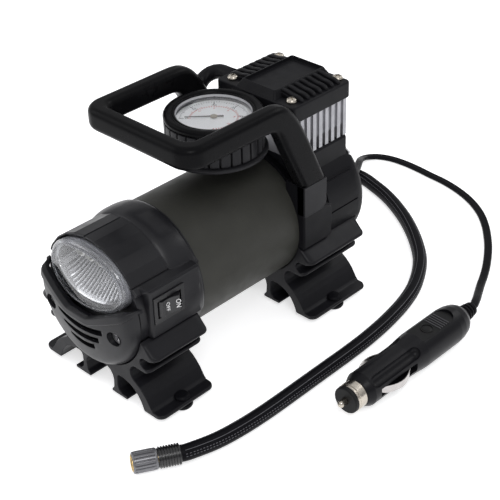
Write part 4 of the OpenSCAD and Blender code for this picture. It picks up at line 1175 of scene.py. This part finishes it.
# pale opaque ring for the bright edge of the glass, seen against the far side of the bezel: a painted highlight
_e = revolve("gauge_glass_edge", [(21.34, 134.5), (21.34, 135.35), (21.22, 135.5), (21.1, 135.3), (20.85, 134.75), (20.7, 134.5)], 144, gz)
settle(_e, angle=60)
place(_e, "base", SLOT["gauge_glass"], mat="lens_rim")
_g = revolve("gauge_glass_v", [(0.001, 134.62), (7, 134.6), (14, 134.52), (20.9, 134.4), (20.9, 134.0), (14, 134.1), (7, 134.18), (0.001, 134.2)], 96, gz)
settle(_g, angle=60)
place(_g, "base", SLOT["gauge_glass"], "gauge_glass")
_d = revolve("gauge_dial_v", rounded([(0.001, 131.6), (21.2, 131.6), (23.1, 131.6), (23.1, 130.9), (0.001, 130.9)], [0, 0, 0.2, 0.2, 0], 3), 96, gz)
settle(_d, angle=50)
place(_d, "base", SLOT["gauge_dial"], "gauge_dial", mat="dial_face_glow")
# pale wall between dial and glass
_w = revolve("gauge_dial_wall", [(21.2, 131.6), (20.9, 132.4), (20.95, 133.7), (21.9, 133.7), (21.9, 131.6)], 96, gz)
settle(_w, angle=50)
place(_w, "base", SLOT["gauge_dial"], mat="grey_plastic")


def flat_text(name, word, x, y, z, size, turn, mat, thick=0.05, bold=0.0):
    cu = bpy.data.curves.new(name, "FONT")
    cu.body = word
    cu.align_x = "CENTER"
    cu.align_y = "CENTER"
    cu.size = size
    cu.offset = bold
    o = bpy.data.objects.new(name, cu)
    scene.collection.objects.link(o)
    dg = bpy.context.evaluated_depsgraph_get()
    dg.update()
    me = bpy.data.meshes.new_from_object(o.evaluated_get(dg))
    bpy.data.objects.remove(o)
    bm = bmesh.new()
    bm.from_mesh(me)
    bmesh.ops.triangulate(bm, faces=bm.faces)
    bmesh.ops.remove_doubles(bm, verts=bm.verts, dist=1e-4)
    r = bmesh.ops.extrude_face_region(bm, geom=bm.faces[:])
    upset = set(v for v in r["geom"] if isinstance(v, bmesh.types.BMVert))
    c, s = math.cos(turn), math.sin(turn)
    for v in bm.verts:
        a, b = v.co.x, v.co.y
        v.co = Vector(((x + a * c - b * s) * MM, (y + a * s + b * c) * MM, (z + (thick if v in upset else -0.03)) * MM))
    bmesh.ops.recalc_face_normals(bm, faces=bm.faces)
    return from_bm(name, bm)


def joined(name, objs):
    bm = bmesh.new()
    for o in objs:
        bm.from_mesh(o.data)
        bpy.data.objects.remove(o)
    return from_bm(name, bm)


def dial_bar(a, r0, r1, w, z=131.6, h=0.06):
    c, s = math.cos(a), math.sin(a)
    put = lambda u, v, hh: (GX + u * c - v * s, GY + u * s + v * c, hh)
    return prism("bar", [(r0, -w / 2), (r1, -w / 2), (r1, w / 2), (r0, w / 2)], put, z - 0.03, z + h)


_parts, _red = [], []
for _k in range(61):
    _a = math.radians(225 - 270 * _k / 60)
    big = _k % 10 == 0
    _parts.append(dial_bar(_a, 16.6 if big else (17.4 if _k % 5 == 0 else 18.2), 19.3, 0.42 if big else 0.2))
for _k in range(46):
    _a = math.radians(225 - 270 * _k / 45)
    _red.append(dial_bar(_a, 12.6, 13.9 if _k % 5 else 14.4, 0.5))
for _k in range(7):
    _a = math.radians(225 - 45 * _k)
    _parts.append(flat_text("n", str(_k * 25), GX + 15.0 * math.cos(_a), GY + 15.0 * math.sin(_a), 131.6, 2.9, 0, None))
    if 0 < _k < 6:
        _red.append(flat_text("n", str(_k * 2), GX + 11.2 * math.cos(_a), GY + 11.2 * math.sin(_a), 131.6, 2.3, 0, None))
_o = joined("dial_marks", _parts)
place(_o, "base", SLOT["gauge_dial"], mat="print_black")
_o = joined("dial_marks_red", _red)
place(_o, "base", SLOT["gauge_dial"], mat="print_red")

# needle: a tapered blade with a short tail on a domed hub
_nb = N["gauge_needle"]["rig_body"]
_c, _s = math.cos(math.radians(225)), math.sin(math.radians(225))
_put = lambda u, v, h: (GX + u * _c - v * _s, GY + u * _s + v * _c, h)
_o = prism("gauge_needle_v", rounded([(-5, -0.55), (-1.6, -0.42), (15.8, -0.12), (16.3, 0), (15.8, 0.12), (-1.6, 0.42), (-5, 0.55), (-5.6, 0)],
                                     [0.5, 0, 0.1, 0.05, 0.1, 0, 0.5, 0.3], 3), _put, 132.2, 132.7)
settle(_o, angle=40, w=0.12, seg=2, limit=50)
place(_o, _nb, SLOT["gauge_needle"], "gauge_needle", mat="needle_grey")
_o = revolve("gauge_needle_hub", rounded([(0.001, 133.15), (1.2, 133.1), (1.95, 132.7), (2.0, 132.1), (0.6, 132.0), (0.6, 127.0), (0.001, 127.0)], 0.12, 3), 40, gz)
settle(_o, angle=40)
place(_o, _nb, SLOT["gauge_needle"], mat="needle_hub")

# grip ring: 28 pads with narrow grooves between them, on a rounded flange
RIBS = 28


def grip(th, k):
    u = (th * RIBS / 360.0) % 1.0
    d = min(u, 1 - u) * 360.0 / RIBS * math.radians(1) * 27.9     # mm from the groove centre
    g = 1 - ss(0.28, 0.62, d)
    return 27.9 - 1.5 * g * k - 0.25 * k * (abs(u - 0.5) * 2) ** 4


_th = []
for _i in range(RIBS):
    for _f in (0, 0.02, 0.045, 0.06, 0.08, 0.1, 0.14, 0.25, 0.4, 0.6, 0.75, 0.86, 0.9, 0.92, 0.94, 0.955, 0.98):
        _th.append((_i + _f) * 360.0 / RIBS)
_ring = lambda r, z: [(GX + r * math.cos(math.radians(t)), GY + r * math.sin(math.radians(t)), z) for t in _th]
_rib = lambda z, k, dr=0.0: [(GX + (grip(t, k) + dr) * math.cos(math.radians(t)), GY + (grip(t, k) + dr) * math.sin(math.radians(t)), z) for t in _th]
_rings = [_ring(0.001, 112.4), _ring(28.9, 112.4), _ring(29.4, 112.55), _ring(29.7, 112.95), _ring(29.8, 113.5), _ring(29.75, 114.1), _ring(29.5, 114.55),
          _ring(29.1, 114.8), _ring(28.4, 114.95), _rib(115.0, 1, -0.45), _rib(115.25, 1, -0.1), _rib(115.7, 1), _rib(118, 1), _rib(124, 1), _rib(130, 1), _rib(131.9, 1),
          _rib(132.3, 1, -0.12), _rib(132.55, 1, -0.5), _ring(26.4, 132.7), _ring(26.4, 133.6), _ring(24.6, 133.6), _ring(24.6, 115.2), _ring(0.001, 115.2)]
_o = rings_mesh("gauge_cup_v", _rings, cap0=False, cap1=False)
settle(_o, angle=38)
place(_o, "base", SLOT["gauge_cup"], "gauge_cup", mat="block_plastic")
_o = revolve("gauge_stem", rounded([(0.001, 34.6), (5, 34.6), (5, 38), (6.4, 38.3), (6.4, 40.6), (5.6, 41.2), (5, 42), (0.001, 42)],
                                   [0, 0.3, 0.2, 0.5, 0.5, 0.2, 0.2, 0], 3), 48, on_y(0, 128))
settle(_o, angle=40)
place(_o, "base", SLOT["gauge_cup"], mat="block_plastic")
# ------------------------------------------------------------------ cylinder head
def rrect(x0, x1, y0, y1, r, seg=6):
    return rounded([(x0, y0), (x1, y0), (x1, y1), (x0, y1)], r, seg)


_flat = lambda a, b, h: (a, b, h)
_o = rings_mesh("head_cover_v", [[(x, y, z) for x, y in rrect(-30 + d, 30 - d, 42 + d, 91 - d, max(0.5, 2.6 - d * 0.5))]
                                 for z, d in ((127.2, 4.0), (124.6, 4.0), (124.6, 0.35), (124.85, 0.08), (125.3, 0), (130, 0), (133.2, 0), (134.0, 0.12), (134.45, 0.42),
                                              (134.6, 0.85), (134.6, 3.0), (134.6, 9.0))])
settle(_o, angle=50)
place(_o, "base", SLOT["head_cover"], "head_cover", mat="housing_plastic")
# crown: a ridge with a recessed plate inside a thin raised rim
_cr = rings_mesh("head_crown", [[(x, y, z) for x, z in rounded([(-23.6, 134.4), (-20, 136.1), (-13.0, 137.2), (-13.0, 138.5), (-12.3, 138.9), (12.3, 138.9), (13.0, 138.5),
                                                                (13.0, 137.2), (20, 136.1), (23.6, 134.4)], [0, 0.8, 0.3, 0.3, 0.3, 0.3, 0.3, 0.3, 0.8, 0], 3)]
                                for y in (49.6, 86.0)])
boolean(_cr, prism("cut", rrect(-11.7, 11.7, 46.4, 87.6, 1.2), _flat, 136.5, 141))
settle(_cr, angle=35, w=0.2, seg=2, limit=50)
place(_cr, "base", SLOT["head_cover"], mat="housing_plastic")
_o = rings_mesh("head_ridge", [[(x, y, z) for x, y in rrect(-hx, hx, ya, yb, 1.4)]
                               for z, hx, ya, yb in ((134.4, 15.4, 42.9, 90.2), (134.7, 15.2, 43.1, 90.0), (137.6, 13.4, 45.2, 88.4), (138.5, 12.9, 45.7, 88.0), (138.85, 12.5, 46.1, 87.7),
                                                     (138.9, 12.2, 46.4, 87.4), (138.8, 11.9, 46.7, 87.1), (136.9, 11.5, 47.1, 86.7), (136.7, 11.0, 47.6, 86.2), (136.7, 6, 52, 82))])
settle(_o, angle=40)
place(_o, "base", SLOT["head_cover"], mat="housing_plastic")
_ribs = []
for _sx in (-1, 1):
    for _i in range(-3, 4):
        yc = 67.6 + _i * 5.1
        rr = []
        for x in (12.6, 14, 16, 18, 20, 21.6, 23, 24.4, 25.6, 26.6, 27.4, 27.9, 28.2, 28.35):
            top = 138.5 - 1.1 * ss(14, 21, x) if x < 21 else 137.4
            if x > 22.5:
                top = 134.4 + 3.0 * math.sqrt(max(0.0, 1 - ((x - 22.5) / 5.9) ** 2))
            hw = 1.45 if x < 26.4 else 1.45 * math.sqrt(max(0.02, 1 - ((x - 26.4) / 2.05) ** 2))
            sec = rounded([(yc - hw, 134.2), (yc + hw, 134.2), (yc + hw, top), (yc - hw, top)], [0, 0, 0.8, 0.8], 4)
            rr.append([(_sx * x, y, z) for y, z in sec])
        _ribs.append(rings_mesh("rib", rr))
_o = joined("head_ribs", _ribs)
settle(_o, angle=48)
place(_o, "base", SLOT["head_cover"], mat="housing_plastic")
# pan head screws with a cross recess
for _i, (_x, _y) in enumerate(((-22.8, 48.7), (22.8, 48.7), (22.8, 87.4), (-22.8, 87.4))):
    _o = revolve("head_screw_%d" % _i, rounded([(0.001, 109), (1.7, 109), (1.7, 134.6), (3.2, 134.6), (3.25, 135.3), (2.7, 136.3), (1.4, 136.85), (0.001, 136.95)],
                                               [0, 0, 0, 0.15, 0.4, 0.7, 0.8, 0], 4), 48, on_z(_x, _y))
    _a = math.radians(20 + 37 * _i)
    for _k in (0, 1):
        c, s = math.cos(_a + _k * math.pi / 2), math.sin(_a + _k * math.pi / 2)
        put = lambda u, v, h: (_x + u * c - v * s, _y + u * s + v * c, h)
        boolean(_o, prism("cut", [(-1.9, -0.36), (1.9, -0.36), (1.9, 0.36), (-1.9, 0.36)], put, 135.7, 138))
    settle(_o, angle=40, w=0.08, seg=2, limit=50)
    place(_o, "base", SLOT["head_screws"], *(["head_screws"] if _i == 0 else []), mat="nickel")

# shallow web between the fins, above the open lower part
_webs = []
for _sx in (-1, 1):
    for _i in range(8):
        yc = 66.5 + (_i - 3.5) * 5.2
        put = lambda a, b, h: (_sx * h, a, b)
        _webs.append(prism("web", rounded([(yc - 1.3, 108.0), (yc + 1.3, 108.0), (yc + 1.3, 124.5), (yc - 1.3, 124.5)], [0.9, 0.9, 0.1, 0.1], 4), put, 25.0, 27.6))
_o = joined("fin_web", _webs)
settle(_o, angle=40, w=0.15, seg=2, limit=50)
place(_o, "base", SLOT["finned_cylinder"])

# rear housing: the side blocks under the handle legs, with rounded lower corners
_bm = cad_bm("rear_housing")
for _v in _bm.verts:
    if abs(_v.co.x) > 41.4 * MM:
        _v.co.x = math.copysign(41.4 * MM, _v.co.x)
_rh = from_bm("rear_housing_v", _bm)
settle(_rh, angle=32, w=0.45, seg=2, limit=30)
place(_rh, "base", SLOT["rear_housing"], "rear_housing", mat="housing_plastic")
for _sx in (-1, 1):
    _o = prism("leg_block_%s" % ("r" if _sx > 0 else "l"), rounded([(37.7, 71.5), (56.3, 71.5), (56.3, 91.0), (37.7, 91.0)], [0.8, 5.0, 0.6, 0.4], 8),
               lambda a, b, h: (_sx * h, a, b), 36.5, 42.5)
    settle(_o, angle=38, w=0.5, seg=3, limit=50)
    place(_o, "base", SLOT["rear_housing"], mat="block_plastic")
    _o = prism("side_block_%s" % ("r" if _sx > 0 else "l"), rounded([(38.2, 50.0), (61.4, 50.0), (61.4, 70.2), (56.0, 72.6), (38.2, 72.6)], [0.5, 1.0, 4.5, 2.0, 0.5], 8),
               lambda a, b, h: (_sx * h, a, b), 36.5, 42.0)
    settle(_o, angle=38, w=0.7, seg=3, limit=50)
    place(_o, "base", SLOT["rear_housing"], mat="housing_plastic")
# ------------------------------------------------------------------ hose, ferrule, chuck
air_hose_v.data.materials.append(MATS["rubber"])
power_cord_v.data.materials.append(MATS["rubber"])

# woven lines along the hose: a solid thread on each side, with two dashed rows beside one and one beside the other
_fine = catmull(HOSE, 14)
_dist = [0.0]
for _a, _b in zip(_fine[:-1], _fine[1:]):
    _dist.append(_dist[-1] + (_b - _a).length)
_fr = frames(_fine, Vector((0, 1, 0)))


def hose_at(s):
    lo, hi = 0, len(_dist) - 1
    while hi - lo > 1:
        m = (lo + hi) // 2
        if _dist[m] <= s:
            lo = m
        else:
            hi = m
    f = (s - _dist[lo]) / max(1e-6, _dist[hi] - _dist[lo])
    p = _fine[lo].lerp(_fine[hi], f)
    t, u, v = _fr[lo]
    # turn the section so that its zero faces up where the hose lies on the floor
    up = Vector((0, 0, 1)) - t * t.z
    side = Vector((1, -1, 0)) - t * t.dot(Vector((1, -1, 0)))
    k = ss(0.35, 0.75, up.length)
    r = (up.normalized() * k + side.normalized() * (1 - k)) if up.length > 1e-3 else side.normalized()
    r = (r - t * r.dot(t)).normalized()
    return p, t, r, t.cross(r).normalized()


def hose_dir(s, phi):
    p, t, r, q = hose_at(s)
    d = r * math.cos(phi) + q * math.sin(phi)
    return p, t, d, t.cross(d)


def thread_rows(name, rows, mat):
    verts, faces = [], []
    total = _dist[-1]
    for phi, w, on, off in rows:
        s = 4.0
        while s < total - 2.0:
            e = min(total - 2.0, s + on)
            n = max(1, int((e - s) / 2.5)) if off == 0 else 1
            if off == 0:
                e = total - 2.0
                n = int((e - s) / 2.2)
            base = len(verts)
            for i in range(n + 1):
                p, t, d, g = hose_dir(s + (e - s) * i / n, phi)
                for a, b in ((-w / 2, -0.25), (-w / 2 * 0.7, 0.045), (w / 2 * 0.7, 0.045), (w / 2, -0.25)):
                    verts.append(p + d * (HOSE_D / 2 + b) + g * a)
            for i in range(n):
                for k in range(4):
                    a, b = base + i * 4 + k, base + i * 4 + (k + 1) % 4
                    faces.append((a, b, b + 4, a + 4))
            faces.append(tuple(base + k for k in (3, 2, 1, 0)))
            faces.append(tuple(base + n * 4 + k for k in (0, 1, 2, 3)))
            s = e + off
            if off == 0:
                break
    o = mesh_object(name, verts, faces)
    bm = bmesh.new(); bm.from_mesh(o.data)
    bmesh.ops.recalc_face_normals(bm, faces=bm.faces)
    bm.to_mesh(o.data); bm.free()
    settle(o, angle=60, weighted=False)
    return place(o, "base", SLOT["air_hose"], mat=mat)


# the side that faces outwards on the long right-hand run
_sg = 1
_p, _t, _r, _q = hose_at(_dist[-1] - 60)
if _q.x < 0:
    _sg = -1
thread_rows("hose_threads", [(_sg * math.radians(33), 0.42, 5, 0), (_sg * math.radians(60), 0.5, 1.0, 0.9), (_sg * math.radians(78), 0.5, 1.0, 0.9),
                             (-_sg * math.radians(22), 0.34, 5, 0), (-_sg * math.radians(52), 0.5, 1.0, 0.9)], "thread")

CU = Vector((0, 0, 1))
CV = CKD.cross(CU).normalized()


def at_ck(r, a, h):
    p = CK + CKD * h + CU * (r * math.cos(a)) + CV * (r * math.sin(a))
    return (p.x, p.y, p.z)


_prof = [(0.001, 0.0), (4.9, 0.0)]
for _i in range(8):
    z = 0.25 + _i * 1.45
    _prof += [(5.1, z), (5.7, z + 0.12), (5.82, z + 0.5), (5.7, z + 0.9), (5.1, z + 1.05)]
_prof += [(5.1, 12.0), (0.001, 12.0)]
_o = revolve("hose_ferrule_v", _prof, 64, at_ck)
settle(_o, angle=50)
place(_o, "base", SLOT["hose_ferrule"], "hose_ferrule", mat="ferrule_plastic")

# fluted collar
_n = 18
_ths = [2 * math.pi * (i + f) / _n for i in range(_n) for f in (0, 0.1, 0.2, 0.28, 0.34, 0.42, 0.5, 0.58, 0.66, 0.72, 0.8, 0.9)]


def flute(t, k):
    u = (t * _n / (2 * math.pi)) % 1.0
    d = abs(u - 0.5) * 2
    return 5.85 - 0.62 * (1 - ss(0.18, 0.5, d)) * k


_rg = []
for h, k, dr in ((12.3, 0, -1.2), (12.35, 0, -0.55), (12.7, 0, -0.2), (13.2, 0, -0.08), (13.7, 0, -0.08), (14.1, 1, -0.1), (14.8, 1, 0), (19, 1, 0), (23.4, 1, 0), (24.0, 1, -0.1),
                 (24.4, 0, -0.08), (24.9, 0, -0.15), (25.2, 0, -0.4), (25.3, 0, -0.7)):
    _rg.append([at_ck(flute(t, k) + dr, t, h) for t in _ths])
for r, h in ((4.7, 25.3), (4.56, 25.1), (4.56, 13.7), (2.96, 13.7), (2.96, 12.3)):
    _rg.append([at_ck(r, t, h) for t in _ths])
_o = rings_mesh("chuck_collar_v", _rg, cap0=False, cap1=False, loop=True)
settle(_o, angle=38)
place(_o, N["chuck_collar"]["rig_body"], SLOT["chuck_collar"], "chuck_collar", mat="collar_metal")
_o = revolve("chuck_insert_v", rounded([(1.2, 8.0), (2.9, 8.0), (2.9, 14.0), (4.5, 14.0), (4.5, 25.6), (4.3, 25.8), (3.85, 25.8), (3.6, 25.45), (3.6, 16.0), (1.2, 16.0)], 0.06, 2), 64, at_ck)
settle(_o, angle=40)
place(_o, N["chuck_insert"]["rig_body"], SLOT["chuck_insert"], "chuck_insert")
# ------------------------------------------------------------------ plug
PX, PZ, PR = 117.1, 11.5, math.radians(2)
_pc, _ps = math.cos(PR), math.sin(PR)


def at_pl(x, y, z):
    return (PX + x * _pc + z * _ps, y, PZ - x * _ps + z * _pc)


rev_pl = lambda r, a, h: at_pl(r * math.cos(a), h, r * math.sin(a))
_prof = rounded([(0.001, -4.0), (8.2, -4.0), (8.6, -3.4), (9.95, -0.7), (10.4, 0.5), (10.4, 20), (10.4, 33), (10.7, 38), (11.15, 42.5), (11.4, 46), (11.4, 62), (11.4, 76),
                 (10.9, 81), (9.7, 85.6), (8, 88.4), (5.8, 90.3), (0.001, 90.3)],
                [0, 0.2, 0.5, 1.0, 1.0, 0, 2, 3, 3, 2, 0, 4, 5, 4, 2.5, 1.0, 0], 5)
_o = revolve("plug_body_v", _prof, 120, rev_pl)


def capsule(name, ang, dist, r, y0, y1):
    c, s = math.cos(ang), math.sin(ang)
    prof = [(0.001, y0)] + [(r * math.sin(math.pi / 2 * i / 10), y0 + r - r * math.cos(math.pi / 2 * i / 10)) for i in range(1, 11)]
    prof += [(r * math.cos(math.pi / 2 * i / 10), y1 - r + r * math.sin(math.pi / 2 * i / 10)) for i in range(0, 10)] + [(0.001, y1)]
    return revolve(name, prof, 48, lambda rr, a, h: at_pl(dist * c + rr * math.cos(a), h, dist * s + rr * math.sin(a)))


for _a in (46, 134):
    boolean(_o, capsule("cut", math.radians(_a), 11.5, 3.95, 0.2, 40.4))
for _s in (-1, 1):
    _sl = rounded([(5.0, -2.7), (35.8, -2.7), (35.8, 2.7), (5.0, 2.7)], 0.5, 3)
    boolean(_o, prism("cut", _sl, lambda a, b, h: at_pl(h, a, b), *((5.3, 13) if _s > 0 else (-13, -5.3))))
# thumb rest with a round rear end
_pad = [(6.3, 45.4), (6.3, 70.6)] + [(6.3 * math.cos(math.pi * k / 16), 70.6 + 6.3 * math.sin(math.pi * k / 16)) for k in range(1, 16)] + [(-6.3, 70.6), (-6.3, 45.4)]
_pad = rounded(_pad, [1.0] + [0] * 17 + [1.0], 4)
boolean(_o, prism("cut", _pad, lambda a, b, h: at_pl(a, b, h), 9.5, 14))
settle(_o, angle=36, w=0.3, seg=3, limit=50)
place(_o, "base", SLOT["plug_body"], "plug_body")
_pi = [(x * 0.965, 61.2 + (y - 61.2) * 0.98) for x, y in _pad]
_o = prism("plug_panel", _pi, lambda a, b, h: at_pl(a, b, h), 9.2, 9.66)
settle(_o, angle=40, w=0.15, seg=2, limit=50)
place(_o, "base", SLOT["plug_body"], mat="panel_plastic")
# ridge bars in the lighter plastic: painted highlight
_bars = []
for _i in range(5):
    yc = 61.7 + _i * 1.9
    sec = rounded([(yc - 0.42, 9.5), (yc + 0.42, 9.5), (yc + 0.34, 10.2), (yc - 0.34, 10.2)], [0, 0, 0.25, 0.25], 3)
    hx = 5.7 if yc < 69 else 5.5
    _bars.append(rings_mesh("bar", [[at_pl(x, y, z) for y, z in sec] for x in (-hx, hx)]))
_o = joined("plug_ridges", _bars)
settle(_o, angle=40, w=0.1, seg=2, limit=50)
place(_o, "base", SLOT["plug_body"], mat="ridge_highlight_plastic")
_o = revolve("plug_button", rounded([(0.001, 9.9), (2.2, 9.85), (2.75, 9.7), (3.0, 9.5), (3.2, 9.5), (3.3, 10.05), (3.75, 10.05), (3.95, 9.5), (3.95, 9.2), (0.001, 9.2)],
                                    [0, 0.6, 0.3, 0.1, 0.1, 0.15, 0.2, 0.1, 0, 0], 3), 56, lambda r, a, h: at_pl(r * math.cos(a), 56.4 + r * math.sin(a), h))
settle(_o, angle=40)
place(_o, "base", SLOT["plug_body"], mat="button_black")

_o = revolve("plug_relief_v", rounded([(0.001, 90.3), (5.5, 90.3), (5.5, 91.7), (3.9, 91.8), (3.9, 92.6), (5.2, 92.7), (5.0, 94.3), (3.6, 94.4), (3.6, 95.2), (4.9, 95.3),
                                       (4.7, 96.9), (3.4, 97.0), (3.4, 97.8), (4.4, 97.9), (4.1, 100.2), (3.1, 101.2), (0.001, 101.2)],
                                      [0, 0.5, 0.5, 0.1, 0.1, 0.5, 0.5, 0.1, 0.1, 0.5, 0.5, 0.1, 0.1, 0.5, 0.7, 0.4, 0], 3), 56,
             lambda r, a, h: (PX + r * math.cos(a), h, PZ + r * math.sin(a)))
settle(_o, angle=45)
place(_o, "base", SLOT["plug_relief"], "plug_relief")
_o = revolve("plug_ring_v", rounded([(3.5, -10.8), (7.7, -10.8), (8.05, -10.5), (8.05, -9.7), (7.55, -9.4), (7.55, -9.1), (8.1, -8.8), (8.1, -4.4), (7.8, -4.0), (3.5, -4.0)],
                                    [0, 0.2, 0.2, 0.2, 0.1, 0.1, 0.2, 0.3, 0.2, 0], 3), 96, rev_pl)
settle(_o, angle=40)
place(_o, "base", SLOT["plug_ring"], "plug_ring")
_o = revolve("plug_nose_v", rounded([(2.06, -13.1), (2.4, -13.25), (7.2, -13.25), (7.9, -12.7), (7.9, -10.8), (2.06, -10.8)], [0.1, 0.2, 0.5, 0.4, 0.1, 0], 4), 96, rev_pl)
settle(_o, angle=40)
place(_o, "base", SLOT["plug_nose"], "plug_nose", mat="panel_plastic")
_pp = [(0.001, -18.7)] + [(2.0 * math.sin(math.pi / 2 * i / 8), -16.7 - 2.0 * math.cos(math.pi / 2 * i / 8)) for i in range(1, 9)]
_o = revolve("plug_pin_v", _pp + [(2.0, -4.4), (3.05, -4.4), (3.05, 2.0), (0.001, 2.0)], 48, rev_pl)
settle(_o, angle=40)
place(_o, N["plug_pin"]["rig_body"], SLOT["plug_pin"], "plug_pin")
for _s, _nm in ((1, "plug_contact_a"), (-1, "plug_contact_b")):
    rr = []
    m = 30
    for i in range(m + 1):
        t = i / m
        y = 6.4 + 25.8 * t
        x = 7.9 + 5.2 * math.sin(math.pi * t) ** 0.9
        hw = 2.45 * (1 - 0.35 * (1 - ss(0.0, 0.14, t)) - 0.3 * ss(0.9, 1.0, t))
        a = math.atan2(4.8 * math.pi * math.cos(math.pi * t), 25.8)
        nx, ny = math.cos(a) * 0.28, -math.sin(a) * 0.28
        sec = [(x + nx, y + ny, -hw + 0.2), (x + nx * 0.4, y + ny * 0.4, -hw), (x - nx, y - ny, -hw + 0.1), (x - nx, y - ny, hw - 0.1), (x + nx * 0.4, y + ny * 0.4, hw), (x + nx, y + ny, hw - 0.2)]
        rr.append([at_pl(_s * px, py, pz) for px, py, pz in sec])
    _o = rings_mesh(_nm + "_v", rr)
    settle(_o, angle=45)
    place(_o, N[_nm]["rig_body"], SLOT[_nm], _nm, mat="leaf_steel")
def bmesh_tri(o):
    """Every face as triangles, so that faces with holes keep their shape."""
    bm = bmesh.new()
    bm.from_mesh(o.data)
    bmesh.ops.triangulate(bm, faces=bm.faces)
    bm.to_mesh(o.data)
    bm.free()


# ------------------------------------------------------------------ CAD pieces with eased edges
_o = from_bm("rear_cover_v", cad_bm("rear_cover"))
bmesh_tri(_o)
settle(_o, angle=28, weighted=False)
place(_o, "base", SLOT["rear_cover"], "rear_cover", mat="housing_plastic")
for _n, _w, _m in (("cylinder_base", 0.6, "housing_plastic"),
                   ("finned_cylinder", 0.3, None), ("head_gasket", 0.1, None), ("cover_screws", 0.2, None), ("mask_screws", 0.2, None),
                   ("valve_plate", 0.2, None), ("outlet_elbow", 0.2, "housing_plastic"), ("cord_grommet", 0.3, None)):
    clone(_n, _w, mat=_m)
# ------------------------------------------------------------------ stage
def floor():
    me = bpy.data.meshes.new("floor")
    me.from_pydata([(-6, -6, 0), (6, -6, 0), (6, 6, 0), (-6, 6, 0)], [], [(0, 1, 2, 3)])
    o = bpy.data.objects.new("floor", me)
    scene.collection.objects.link(o)
    m = bpy.data.materials.new("floor")
    m.use_nodes = True
    b = m.node_tree.nodes["Principled BSDF"]
    b.inputs["Base Color"].default_value = (0.86, 0.86, 0.87, 1)
    b.inputs["Roughness"].default_value = 0.9
    b.inputs["Specular IOR Level"].default_value = 0.1
    b.inputs["Emission Color"].default_value = (1, 1, 1, 1)
    b.inputs["Emission Strength"].default_value = 0.62
    o.data.materials.append(m)


floor()


def area(name, loc, target, size, power, size_y=None, spread=None):
    d = bpy.data.lights.new(name, "AREA")
    d.energy = power
    d.size = size
    if size_y:
        d.shape = "RECTANGLE"
        d.size_y = size_y
    if spread is not None:
        d.spread = spread
    o = bpy.data.objects.new(name, d)
    o.location = loc
    o.rotation_euler = (Vector(target) - Vector(loc)).to_track_quat("-Z", "Y").to_euler()
    scene.collection.objects.link(o)
    return o


w = bpy.data.worlds.new("world")
scene.world = w
w.use_nodes = True
_nt = w.node_tree
_bg = _nt.nodes["Background"]
_tc = _nt.nodes.new("ShaderNodeTexCoord")
_sx = _nt.nodes.new("ShaderNodeSeparateXYZ")
_cr = _nt.nodes.new("ShaderNodeValToRGB")
_nt.links.new(_tc.outputs["Generated"], _sx.inputs["Vector"])
_nt.links.new(_sx.outputs["Z"], _cr.inputs["Fac"])
_nt.links.new(_cr.outputs["Color"], _bg.inputs["Color"])
_cr.color_ramp.elements[0].position = 0.0
_cr.color_ramp.elements[0].color = (0.62, 0.62, 0.63, 1)
_cr.color_ramp.elements[1].position = 0.24
_cr.color_ramp.elements[1].color = (0.34, 0.34, 0.35, 1)
_ce = _cr.color_ramp.elements.new(0.5)
_ce.color = (0.74, 0.74, 0.75, 1)
_ce = _cr.color_ramp.elements.new(1.0)
_ce.color = (0.84, 0.84, 0.85, 1)
_bg.inputs[1].default_value = 1.0
area("key", (0.9, -0.6, 1.3), (0, 0, 0.08), 0.5, 6)
area("left", (-1.1, -0.7, 0.8), (0, 0, 0.08), 0.6, 3, 0.9)
area("rim", (0.3, 1.2, 1.0), (0, 0, 0.08), 0.8, 3, 0.5)
scene.view_settings.view_transform = "Standard"
